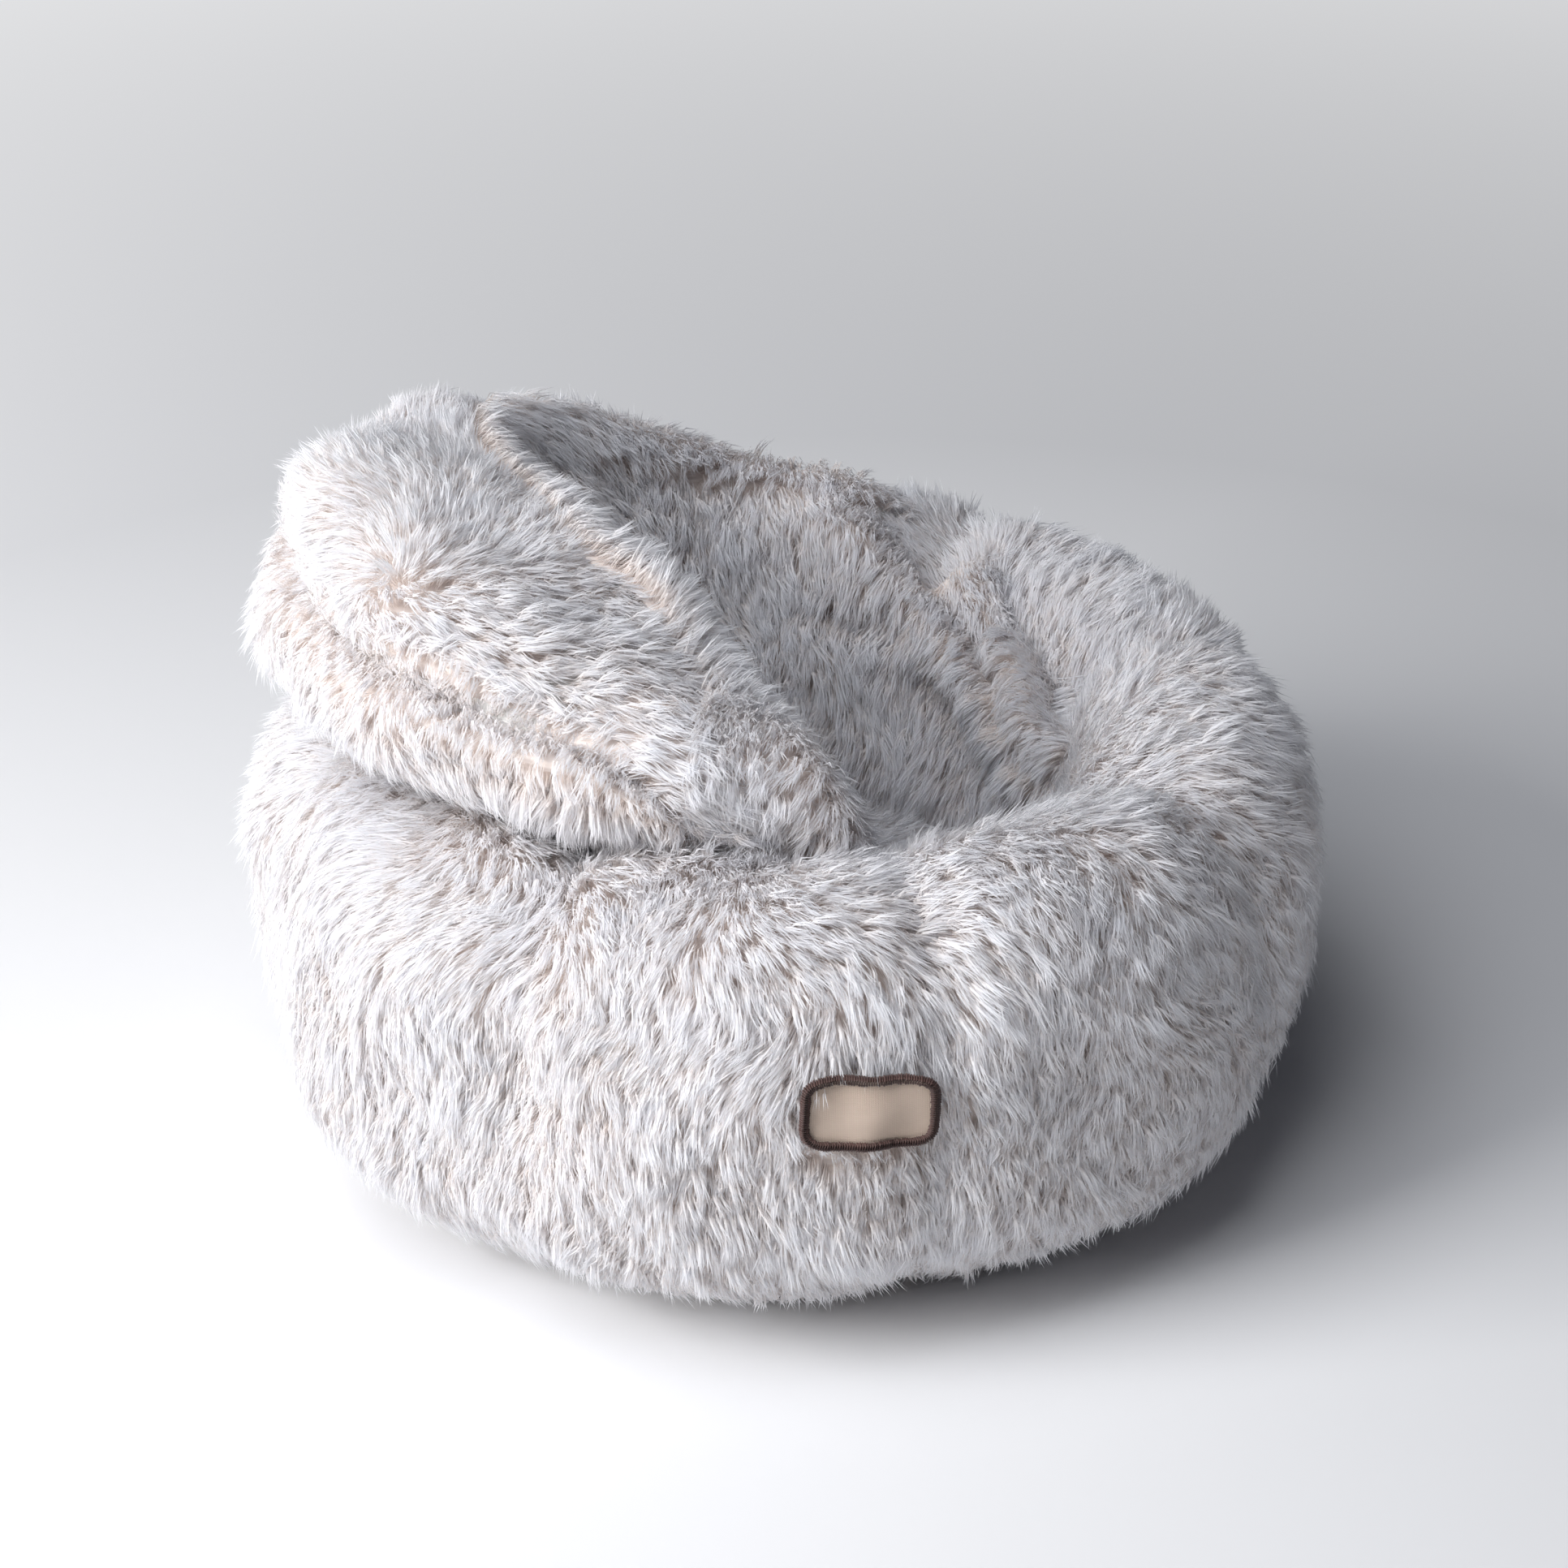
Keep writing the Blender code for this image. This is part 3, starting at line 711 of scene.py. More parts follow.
GORE_ROWS, GORE_COLUMNS = 22, 84
RIM_PILE = []
RIM_CLOTH = []
for number, name in enumerate(GORE_NAMES):
    start = FIRST_SEAM + 45.0 * number
    azimuths = np.linspace(start + 0.1, start + 44.9, GORE_ROWS)
    points = rim_points(azimuths, PILE_HEIGHT, GORE_COLUMNS)
    cloth = cloth_sheet(f"{name}_cloth", points)
    around, over, _ = grid_frames(points)
    out = unit(np.cross(around, over))
    t = np.linspace(0.0, 1.0, GORE_COLUMNS)[None, :]
    height = points[..., 2]
    crest = np.exp(-(((t - 0.62) / 0.13) ** 2))
    swirl = (0.22 + 0.8 * crest) * smooth_noise(points, 0.055, 11) + 0.22 * smooth_noise(points, 0.02, 12)
    comb = turned_about(-over, out, swirl)
    lift = 0.26 + 0.12 * crest + 0.07 * smooth_noise(points, 0.03, 13)
    lift = np.clip(lift, 0.15, 0.85)
    pile = 1.0 + 0.10 * smooth_noise(points, 0.03, 14) - 0.25 * np.clip(1 - height / 0.03, 0, 1)
    tone = np.clip(0.62 + 0.3 * smooth_noise(points, 0.02, 15), 0.02, 0.98)
    pile = np.where(under_label(points), 0.22, pile)
    radius = np.hypot(points[..., 0], points[..., 1])
    hidden = (radius < CREST) & (height < CUSHION_TOP - 0.02)
    hidden |= hidden_by_hood(azimuths[:, None], radius, height)
    steer(cloth, comb=comb, lift=lift, pile=pile, tone=tone, thick=np.where(hidden, 0.04, 1.0 + 0.16 * crest))
    RIM_PILE.append(grow_pile(cloth, f"{name}_pile", 100 + number))
    RIM_CLOTH.append(thicken(cloth))
print("rim pile triangles", sum(triangles.values()))


# %% [markdown]
# ## The hood's outer cloth
# The skirt rises from the rim to a curved seam, and two panels go on to the lip. The seam pulls the cloth
# in, and just below it the fill swells into a soft roll. On the panels the pile spreads from one whorl,
# as fur does on an animal's shoulder; at the seam it is parted, away from the stitches on both sides.

# %% Make skirt and panels
SEAM_DEPTH, SEAM_WIDTH = 0.014, 0.024
ROLL_HEIGHT, ROLL_AT, ROLL_WIDTH = 0.008, 0.060, 0.030
FOOT_REACH = -0.10  # how far the cloth runs down into the rim's pile, as a share


def hood_outside(azimuths, along):
    points = hood_surface(azimuths, along, PILE_HEIGHT + 0.004 * np.clip((along - 0.6) / 0.3, 0.0, 1.0))
    _, _, out = grid_frames(points)
    from_seam = along - seam_at(azimuths)[:, None]
    move = -SEAM_DEPTH * np.exp(-((from_seam / SEAM_WIDTH) ** 2))
    swell = np.interp(azimuths, [195.0, 225.0], [0.0, 1.0])[:, None]
    move = move + ROLL_HEIGHT * swell * np.exp(-(((from_seam + ROLL_AT) / ROLL_WIDTH) ** 2))
    move = move - 0.008 * (1 - swell) * np.exp(-(((along - 0.42) / 0.22) ** 2))
    move = move + 0.004 * smooth_noise(points, 0.06, 21) + 0.0015 * smooth_noise(points, 0.025, 22)
    low = np.clip((points[..., 2] - HOOD_FOOT) / 0.02, 0.0, 1.0)
    return points - out * (move * low)[..., None]


def hood_grid(start, end, first, last, step_degrees=2.2, columns=40):
    """Azimuths from start to end, and for each a row of places from first to last. These are shares of the way
    from the rim to the lip, or functions of the azimuth that give them."""
    azimuths = np.linspace(start, end, max(6, round(abs(end - start) / step_degrees)))
    first, last = (f(azimuths) if callable(f) else np.full(len(azimuths), f) for f in (first, last))
    return azimuths, first[:, None] + (last - first)[:, None] * np.linspace(0.0, 1.0, columns)[None, :]


HOOD_PILE, HOOD_CLOTH = [], {}


def hood_cloth(name, azimuths, along, seed):
    points = hood_outside(azimuths, along)
    cloth = cloth_sheet(f"{name}_cloth", points)
    cloth.data.flip_normals()
    around, over, inward = grid_frames(points)
    out = -inward
    from_whorl = points - WHORL
    from_whorl = from_whorl - out * np.sum(from_whorl * out, -1, keepdims=True)
    distance = np.linalg.norm(points - WHORL, axis=-1)
    near_seam = np.exp(-(((along - seam_at(azimuths)[:, None]) / 0.07) ** 2))
    if "skirt" in name:
        comb = -over + 0.15 * unit(from_whorl)
        short = 1.0 - 0.55 * near_seam
    else:
        comb = turned_about(unit(from_whorl), out, 0.9 * np.exp(-distance / 0.025))
        comb = comb * (1 - near_seam[..., None]) + over * near_seam[..., None]
        short = 1.0 - 0.62 * near_seam - 0.14 * np.clip((along - 0.6) / 0.3, 0.0, 1.0)
    swirl = 0.45 * smooth_noise(points, 0.05, 23) + 0.3 * smooth_noise(points, 0.02, 24)
    comb = turned_about(unit(comb), out, swirl * (1 - 0.7 * near_seam))
    top = np.clip((along - 0.55) / 0.3, 0.0, 1.0)
    lift = 0.30 + 0.14 * top + 0.07 * smooth_noise(points, 0.03, 25) - 0.06 * near_seam
    lift = lift + 0.5 * np.exp(-((distance / 0.018) ** 2))
    steer(
        cloth,
        comb=comb,
        lift=np.clip(lift, 0.15, 0.85),
        pile=short * (1.0 + 0.1 * smooth_noise(points, 0.03, 26)),
        tone=np.clip(0.62 + 0.3 * smooth_noise(points, 0.02, 27), 0.02, 0.98),
        thick=1.0,
    )
    HOOD_PILE.append(grow_pile(cloth, f"{name}_pile", seed))
    HOOD_CLOTH[name] = thicken(cloth)


hood_cloth("hood_skirt", *hood_grid(HOOD_START, HOOD_END, FOOT_REACH, seam_at, columns=34), seed=201)
hood_cloth("hood_panel_front", *hood_grid(HOOD_START, HOOD_SPLIT, seam_at, LIP_AT), seed=202)
hood_cloth("hood_panel_back", *hood_grid(HOOD_SPLIT, HOOD_END, seam_at, LIP_AT), seed=203)

# %% [markdown]
# ## The lip and the lining
# The lip is a soft roll that joins the outer panels to the lining. The lining hangs down inside the hood
# and carries on down the wall of the hollow, where slack cloth falls into two long folds.

# %% Make lip and lining
FOLDS = (  # for each, (azimuth, height) along its ridge
    ((0.0, 0.155), (24.0, 0.168), (48.0, 0.180), (68.0, 0.195), (80.0, 0.224)),
    ((-6.0, 0.168), (13.0, 0.176), (43.0, 0.188), (58.0, 0.206), (68.0, 0.235)),
    ((104.0, 0.120), (116.0, 0.165), (124.0, 0.215), (130.0, 0.260)),
)
FOLD_HEIGHT, FOLD_WIDE, FOLD_STEEP = 0.019, 13.0, 5.0


def fold(azimuth, height):
    """How far the lining's folds stand out, in metres. Each is broad on its left and steep on its right."""
    ridge = 0.0
    for line in FOLDS:
        at, level = np.array(line).T
        away = azimuth - np.interp(height, level, at)
        ridge = np.maximum(ridge, np.exp(-((away / np.where(away > 0, FOLD_WIDE, FOLD_STEEP)) ** 2)))
    ends = np.clip((height - 0.12) / 0.03, 0, 1) * np.clip((0.30 - height) / 0.04, 0, 1)
    return FOLD_HEIGHT * (ridge - 0.35) * ends


def lined(name, points, comb, lift, seed, pile=1.0, thick=1.0, out_sign=1.0):
    cloth = cloth_sheet(f"{name}_cloth", points)
    around, over, normal = grid_frames(points)
    out = normal * out_sign
    if out_sign < 0:
        cloth.data.flip_normals()
    swirl = 0.35 * smooth_noise(points, 0.05, seed) + 0.25 * smooth_noise(points, 0.02, seed + 1)
    steer(
        cloth,
        comb=turned_about(unit(comb), out, swirl),
        lift=np.clip(lift + 0.08 * smooth_noise(points, 0.03, seed + 2), 0.12, 0.85),
        pile=pile * (1.0 + 0.1 * smooth_noise(points, 0.03, seed + 3)),
        tone=np.clip(0.62 + 0.3 * smooth_noise(points, 0.02, seed + 4), 0.02, 0.98),
        thick=thick,
    )
    HOOD_PILE.append(grow_pile(cloth, f"{name}_pile", seed))
    HOOD_CLOTH[name] = thicken(cloth)


LIP_ROLL = 0.7


def lip_points(azimuths, columns=16):
    """The roll from the outer cloth's edge round to the lining's edge, as a Bezier curve at each azimuth."""
    ends = np.array([LIP_AT, 1.0])
    outer = hood_surface(azimuths, ends, PILE_HEIGHT)
    inner = hood_surface(azimuths, ends, PILE_HEIGHT, inside=True)
    reach_out = (outer[:, 1] - outer[:, 0]) * LIP_ROLL
    reach_in = (inner[:, 1] - inner[:, 0]) * LIP_ROLL
    corners = (outer[:, 0], outer[:, 0] + reach_out, inner[:, 0] + reach_in, inner[:, 0])
    u = np.linspace(0.0, 1.0, columns)[None, :, None]
    a, b, c, d = (corner[:, None, :] for corner in corners)
    return a * (1 - u) ** 3 + 3 * b * u * (1 - u) ** 2 + 3 * c * u**2 * (1 - u) + d * u**3


azimuths = np.linspace(HOOD_START, HOOD_END, 92)
points = lip_points(azimuths)
_, over, _ = grid_frames(points)
lined("hood_lip", points, over, 0.42, 301, thick=1.25, out_sign=-1.0)

LINING_SPLIT = 0.5  # where the hood's lining is sewn to the lining of the hollow


def lining_points(azimuths, places, folded=True):
    """The lining from the lip at 0 to the cushion at 1. Under the hood's left it follows the cave's wall, and at
    the back it falls straight from the lip to the hollow."""
    on_hood = np.clip(azimuths, HOOD_END, HOOD_START)
    cave = hood_surface(on_hood, np.array([LIP_AT, 0.5, 0.0]), PILE_HEIGHT, inside=True)
    a = np.radians(azimuths + hood_twist(azimuths))
    radius, height = np.hypot(cave[..., 0], cave[..., 1]), cave[..., 2]
    low = np.array([(0.121, 0.172), (0.113, 0.132), (0.112, 0.100)])
    straight_radius = radius[:, :1] + (low[0, 0] - radius[:, :1]) * np.array([0.0, 0.36, 0.70])
    straight_height = height[:, :1] + (low[0, 1] - height[:, :1]) * np.array([0.0, 0.30, 0.66])
    share = np.clip((azimuths - 112.0) / 45.0, 0.0, 1.0)[:, None]
    share = share * share * (3 - 2 * share)
    radius = straight_radius + (radius - straight_radius) * share
    height = straight_height + (height - straight_height) * share
    radius = np.concatenate([radius, np.broadcast_to(low[:, 0], (len(a), 3))], 1)
    height = np.concatenate([height, np.broadcast_to(low[:, 1], (len(a), 3))], 1)
    corners = np.stack([radius * np.cos(a)[:, None], radius * np.sin(a)[:, None], height], -1)
    points = spline(np.moveaxis(corners, 1, 0), np.broadcast_to(places, (len(a), np.shape(places)[-1])))
    if not folded:
        return points
    _, _, normal = grid_frames(points)
    facing = -normal
    proud = fold(azimuths[:, None], points[..., 2]) + 0.003 * smooth_noise(points, 0.05, 31)
    sewn = np.clip(np.broadcast_to(places, points.shape[:2]) / 0.14, 0.0, 1.0)
    return points + facing * (proud * sewn)[..., None]



def line_with(name, start, end, first, last, seed, columns):
    """One piece of the lining. Where the hood ends, hollow_lining goes on up into the rim's pile."""
    azimuths = np.linspace(start, end, max(8, round(abs(end - start) / 2.2)))
    share = np.linspace(0.0, 1.0, columns)[None, :]
    begin = np.interp(azimuths, [50.0, 74.0], [0.0, first])[:, None] if first else np.zeros((len(azimuths), 1))
    points = lining_points(azimuths, begin + (last - begin) * share)
    if end < HOOD_END:
        tucked = np.clip((end + 14.0 - azimuths) / 14.0, 0.0, 1.0)[:, None] ** 2
        radius = np.hypot(points[..., 0], points[..., 1])
        points[..., :2] *= ((radius + 0.022 * tucked) / radius)[..., None]
    _, over, _ = grid_frames(points)
    lined(name, points, over, 0.30, seed, out_sign=-1.0)


line_with("hood_lining_front", HOOD_START, HOOD_SPLIT, 0.0, LINING_SPLIT, 311, 34)
line_with("hood_lining_back", HOOD_SPLIT, HOOD_END, 0.0, LINING_SPLIT, 321, 34)
line_with("hollow_lining", HOOD_START, 2.0, LINING_SPLIT, 1.0, 331, 26)

# The lip's cloth goes round the near end of the hood, and faces out there.
azimuths = np.linspace(HOOD_START, HOOD_START - 20.0, 12)
points = lining_points(azimuths, np.linspace(0.0, 0.75, 20))
_, over, normal = grid_frames(points)
lined("hood_end", points + 0.003 * normal, over + 0.3 * normal, 0.34, 341, pile=0.85)
hood_end = (HOOD_CLOTH.pop("hood_end"), HOOD_PILE.pop())
print("pile triangles so far", sum(triangles.values()), triangles)

# %% [markdown]
# ## The floor cushion
# A round pad fills the hollow. Its plush top is crowned, rolls over at the edge and goes down to the
# base. A square grid is drawn out to a disc, so that the cloth has no pole.

# %% Make the cushion's cover
def disc_grid(count):
    """Directions and radius shares of a square grid that is mapped to a disc."""
    u, v = np.meshgrid(np.linspace(-1, 1, count), np.linspace(-1, 1, count), indexing="ij")
    x, y = u * np.sqrt(1 - v**2 / 2), v * np.sqrt(1 - u**2 / 2)
    return x, y, np.hypot(x, y)


def cushion_points(inset, count=56):
    x, y, share = disc_grid(count)
    edge = HOLLOW - inset
    top = CUSHION_TOP - inset
    radius_on = [0.0, 0.5 * edge, 0.84 * edge, 0.95 * edge, edge, edge]
    height_on = [top, top - 0.003, top - 0.010, top - 0.018, top - 0.032, PANEL_TOP + 0.003]
    at = [0.0, 0.36, 0.62, 0.70, 0.78, 1.0]
    radius, height = np.interp(share, at, radius_on), np.interp(share, at, height_on)
    scale = radius / np.maximum(share, 1e-6)
    bumps = 0.003 * smooth_noise(np.stack([x, y, 0 * x], -1), 0.5, 41)
    return np.stack([x * scale, y * scale, height + bumps], -1)


points = cushion_points(PILE_HEIGHT)
around, over, normal = grid_frames(points)
lined(
    "cushion_cover",
    points,
    np.broadcast_to(np.array([0.8, -0.6, 0.0]), points.shape),
    0.45,
    341,
    thick=np.where(points[..., 2] > CUSHION_TOP - 0.045, 1.0, 0.03),
)

# %% [markdown]
# ## The fill
# Rim, cushion and hood are stuffed with hollow polyester fibre. No seam is open, so the fill can't be
# seen, but it is there as it is on the bench: one ring, one pad and two pieces in the hood.

# %% Make the fill
def fibre_material():
    mat, tree, shader = new_material("siliconised polyester fibre fill, white")
    place = add(tree, "ShaderNodeTexCoord")
    fluff = add(tree, "ShaderNodeTexNoise", {"Vector": place.outputs["Object"], "Scale": 400.0, "Detail": 6.0})
    ramp = add(tree, "ShaderNodeValToRGB", {0: fluff.outputs["Fac"]})
    ramp.color_ramp.elements[0].color = hex_color("#D9D9D6")
    ramp.color_ramp.elements[1].color = hex_color("#F7F7F5")
    bump = add(tree, "ShaderNodeBump", {"Height": fluff.outputs["Fac"], "Distance": 0.001})
    tree.links.new(ramp.outputs["Color"], shader.inputs["Base Color"])
    tree.links.new(bump.outputs[0], shader.inputs["Normal"])
    shader.inputs["Roughness"].default_value = 0.9
    return mat


FIBRE = fibre_material()
FILL_INSET = 0.034


def finish_fill(piece):
    piece.data.materials.clear()
    piece.data.materials.append(FIBRE)
    return piece


azimuths = np.linspace(0.0, 360.0, 97)[:-1]
angle = np.linspace(0.0, 2 * math.pi, 29)[:-1]
a, b = np.radians(azimuths)[:, None], angle[None, :]
radius = CREST + (HALF - FILL_INSET) * np.sign(np.cos(b)) * np.abs(np.cos(b)) ** (2 / SECTION_POWER)
height = MIDDLE + (MIDDLE - FILL_INSET) * np.sign(np.sin(b)) * np.abs(np.sin(b)) ** (2 / SECTION_POWER)
ring = np.stack([radius * np.cos(a), radius * np.sin(a), height + 0 * a], -1)
ring = ring + (0.003 * smooth_noise(ring, 0.03, 51))[..., None] * np.array([0, 0, 1.0])
rim_fill = finish_fill(cloth_sheet("rim_fill_fibre", np.concatenate([ring, ring[:, :1]], 1), closed=True))
bm = bmesh.new()
bm.from_mesh(rim_fill.data)
bmesh.ops.remove_doubles(bm, verts=bm.verts, dist=1e-5)
bmesh.ops.recalc_face_normals(bm, faces=bm.faces)
bm.to_mesh(rim_fill.data)
bm.free()


def pad_from(name, points, thickness, flip):
    sheet = cloth_sheet(name, points)
    if flip:
        sheet.data.flip_normals()
    return finish_fill(thicken(sheet, thickness))


cushion_fill = pad_from("cushion_fill_fibre", cushion_points(FILL_INSET, 30), 0.03, False)
hood_fill = {}
for side, start, end in (("front", HOOD_START - 6, HOOD_SPLIT + 1), ("back", HOOD_SPLIT - 1, HOOD_END + 6)):
    azimuths, along = hood_grid(start, end, 0.04, LIP_AT - 0.03, step_degrees=4.0, columns=18)
    middle = (hood_surface(azimuths, along, 0.018) + hood_surface(azimuths, along, 0.018, inside=True)) / 2
    hood_fill[side] = pad_from(f"hood_padding_{side}_fibre", middle, 0.006, True)
print("fill made")

# %% [markdown]
# ## The label
# A small patch of woven satin sits low on the front, with an overlocked edge. The CAD label's own
# directions are found from its corners, so that the patch lies where the solid lies. Its face is blank.
# The pile around it is pressed short under the patch, and a few locks fall over its upper edge.

# %% Weave the label
def woven_material(name, light, dark, thread):
    """Two sets of threads that cross, from two wave textures on the object's own coordinates."""
    mat, tree, shader = new_material(name)
    place = add(tree, "ShaderNodeTexCoord")
    weave = [
        add(
            tree,
            "ShaderNodeTexWave",
            {"Vector": place.outputs["Object"], "Scale": 1 / thread / 3.2, "Distortion": 0.6, "Detail": 1.0},
            bands_direction=axis,
        ).outputs["Fac"]
        for axis in ("X", "Z")
    ]
    both = add(tree, "ShaderNodeMath", {0: weave[0], 1: weave[1]}, operation="MULTIPLY").outputs[0]
    blotch = add(tree, "ShaderNodeTexNoise", {"Vector": place.outputs["Object"], "Scale": 60.0, "Detail": 3.0})
    tone = add(tree, "ShaderNodeMath", {0: both, 1: blotch.outputs["Fac"]}, operation="ADD").outputs[0]
    ramp = add(tree, "ShaderNodeValToRGB", {0: tone})
    ramp.color_ramp.elements[0].color = hex_color(dark)
    ramp.color_ramp.elements[0].position = 0.25
    ramp.color_ramp.elements[1].color = hex_color(light)
    bump = add(tree, "ShaderNodeBump", {"Height": both, "Distance": 0.0003, "Strength": 0.7})
    tree.links.new(ramp.outputs["Color"], shader.inputs["Base Color"])
    tree.links.new(bump.outputs[0], shader.inputs["Normal"])
    shader.inputs["Roughness"].default_value = 0.62
    shader.inputs["Sheen Weight"].default_value = 0.15
    return mat


LABEL_SATIN = woven_material("woven label satin, beige", "#D6C2B2", "#BCA695", 0.0006)
BROWN_THREAD = woven_material("overlock thread, dark brown", "#5A3A33", "#331E1A", 0.0005)
corners = np.array([v.co for v in frame["nodes"]["label_border"].data.vertices])
LABEL_MIDDLE = (corners.max(0) + corners.min(0)) / 2
_, _, ways = np.linalg.svd(corners - corners.mean(0), full_matrices=False)
LABEL_ACROSS = ways[0] * np.sign(ways[0][0])
LABEL_OUT = ways[2] * np.sign(-ways[2][1])
LABEL_UP = np.cross(LABEL_OUT, LABEL_ACROSS)
LABEL_HALF = [np.abs((corners - LABEL_MIDDLE) @ way).max() for way in (LABEL_ACROSS, LABEL_UP)]


def label_points(x, y, lift=0.0):
    """Points of the label from shares of its half width and height. It follows the rim and puckers a little."""
    px, py = x * LABEL_HALF[0], y * LABEL_HALF[1]
    flat = LABEL_MIDDLE + px[..., None] * LABEL_ACROSS + py[..., None] * LABEL_UP
    pucker = 0.0009 * smooth_noise(flat, 0.016, 61) + 0.0007 * np.cos(x * math.pi * 2.5) * np.abs(y) ** 3
    out = lift - px**2 / (2 * RIM_OUT) - py**2 / 0.5 + pucker - 0.0012
    return flat + out[..., None] * LABEL_OUT


def rounded(x, y, power=5.0):
    """Moves a square's points to a square with round corners."""
    reach = (np.abs(x) ** power + np.abs(y) ** power) ** (1 / power)
    scale = np.maximum(np.abs(x), np.abs(y)) / np.maximum(reach, 1e-9)
    return x * scale, y * scale


u, v = np.meshgrid(np.linspace(-1, 1, 48), np.linspace(-1, 1, 30), indexing="ij")
label_patch = cloth_sheet("label_patch_satin", label_points(*(0.94 * c for c in rounded(u, v))))
label_patch = thicken(label_patch, 0.0006)
label_patch.data.materials.clear()
label_patch.data.materials.append(LABEL_SATIN)

turn = np.linspace(0.0, 2 * math.pi, 161)[:-1]
square = np.stack([np.cos(turn), np.sin(turn)]) / np.maximum(np.abs(np.cos(turn)), np.abs(np.sin(turn)))
edge_x, edge_y = rounded(*square)
shares = np.array([0.90, 0.93, 0.97, 1.0, 0.985, 0.95])
rise = np.array([0.0004, 0.0013, 0.0015, 0.0004, -0.0012, -0.0014])
ring = label_points(edge_x[:, None] * shares, edge_y[:, None] * shares, rise[None, :])
label_edge = cloth_sheet("label_border_edging", np.concatenate([ring, ring[:, :1]], 1), closed=True)
label_edge.data.materials.append(BROWN_THREAD)
print("label", [round(2 * float(h), 4) for h in LABEL_HALF], "m")

# %% [markdown]
# ## Stitches
# A stitch is one short loop of thread, and a seam is a line with such a loop every few millimetres. So
# the line is drawn once, with the way out of the cloth stored at its points, and Geometry Nodes sets the
# stitches along it. The same tree sews the label's overlocked edge and the seams of the hood and the
# gores.

# %% Build the stitch tree
def thread_loop(name, path, radius, material):
    """One stitch: a tube along a path of points, six sides round."""
    path = np.array(path)
    ahead = unit(np.gradient(path, axis=0))
    side = unit(np.cross(ahead, [0.0, 1.0, 0.001]))
    other = np.cross(ahead, side)
    turn = np.linspace(0.0, 2 * math.pi, 7)[:-1]
    round_path = side[:, None] * np.cos(turn)[:, None] + other[:, None] * np.sin(turn)[:, None]
    tube = path[:, None] + radius * round_path
    mesh = bpy.data.meshes.new(name)
    rows = len(path)
    faces = [
        (i * 6 + j, i * 6 + (j + 1) % 6, (i + 1) * 6 + (j + 1) % 6, (i + 1) * 6 + j)
        for i in range(rows - 1)
        for j in range(6)
    ]
    ends = [tuple(range(5, -1, -1)), tuple(range((rows - 1) * 6, rows * 6))]
    mesh.from_pydata(tube.reshape(-1, 3).tolist(), [], faces + ends)
    mesh.shade_smooth()
    mesh.materials.append(material)
    return bpy.data.objects.new(name, mesh)


def stitch_tree(name, material):
    tree = bpy.data.node_groups.new(name, "GeometryNodeTree")
    tree.interface.new_socket("Line", in_out="INPUT", socket_type="NodeSocketGeometry")
    tree.interface.new_socket("Stitch", in_out="INPUT", socket_type="NodeSocketObject")
    tree.interface.new_socket("Spacing", in_out="INPUT", socket_type="NodeSocketFloat").default_value = 0.001
    tree.interface.new_socket("Unevenness", in_out="INPUT", socket_type="NodeSocketFloat").default_value = 0.12
    tree.interface.new_socket("Seed", in_out="INPUT", socket_type="NodeSocketInt")
    tree.interface.new_socket("Seam", in_out="OUTPUT", socket_type="NodeSocketGeometry")
    given = add(tree, "NodeGroupInput").outputs
    line = add(tree, "GeometryNodeMeshToCurve", {0: given["Line"]})
    even = add(
        tree, "GeometryNodeResampleCurve", {"Curve": line.outputs[0], "Length": given["Spacing"]}, mode="LENGTH"
    )
    ahead = add(tree, "GeometryNodeInputTangent").outputs[0]
    out = add(tree, "GeometryNodeInputNamedAttribute", {"Name": "out"}, data_type="FLOAT_VECTOR").outputs[0]
    stand = add(tree, "FunctionNodeAlignRotationToVector", {"Vector": out}, axis="Z")
    lie = add(
        tree,
        "FunctionNodeAlignRotationToVector",
        {"Rotation": stand.outputs[0], "Vector": ahead},
        axis="X",
        pivot_axis="Z",
    )
    low = add(tree, "ShaderNodeMath", {0: 1.0, 1: given["Unevenness"]}, operation="SUBTRACT").outputs[0]
    high = add(tree, "ShaderNodeMath", {0: 1.0, 1: given["Unevenness"]}, operation="ADD").outputs[0]
    size = add(
        tree, "FunctionNodeRandomValue", {2: low, 3: high, "Seed": given["Seed"]}, data_type="FLOAT"
    ).outputs[1]
    stitch = add(tree, "GeometryNodeObjectInfo", {"Object": given["Stitch"]}).outputs["Geometry"]
    placed = add(
        tree,
        "GeometryNodeInstanceOnPoints",
        {"Points": even.outputs[0], "Instance": stitch, "Rotation": lie.outputs[0], "Scale": size},
    )
    real = add(tree, "GeometryNodeRealizeInstances", {0: placed.outputs[0]})
    finished = add(tree, "GeometryNodeSetMaterial", {"Geometry": real.outputs[0], "Material": material})
    add(tree, "NodeGroupOutput", {0: finished.outputs[0]})
    return tree


def run_tree(tree, obj, name, **values):
    """What a tree makes of obj, as a plain piece. obj is removed."""
    modifier = obj.modifiers.new(name, "NODES")
    modifier.node_group = tree
    sockets = {item.name: item.identifier for item in tree.interface.items_tree if item.in_out == "INPUT"}
    for key, value in values.items():
        modifier[sockets[key]] = value
    piece = plain_copy(obj, name)
    bpy.data.objects.remove(obj)
    for spare in ("out", "tilt", "radius"):
        if spare in piece.data.attributes:
            piece.data.attributes.remove(piece.data.attributes[spare])
    triangles[name] = sum(len(p.vertices) - 2 for p in piece.data.polygons)
    return piece


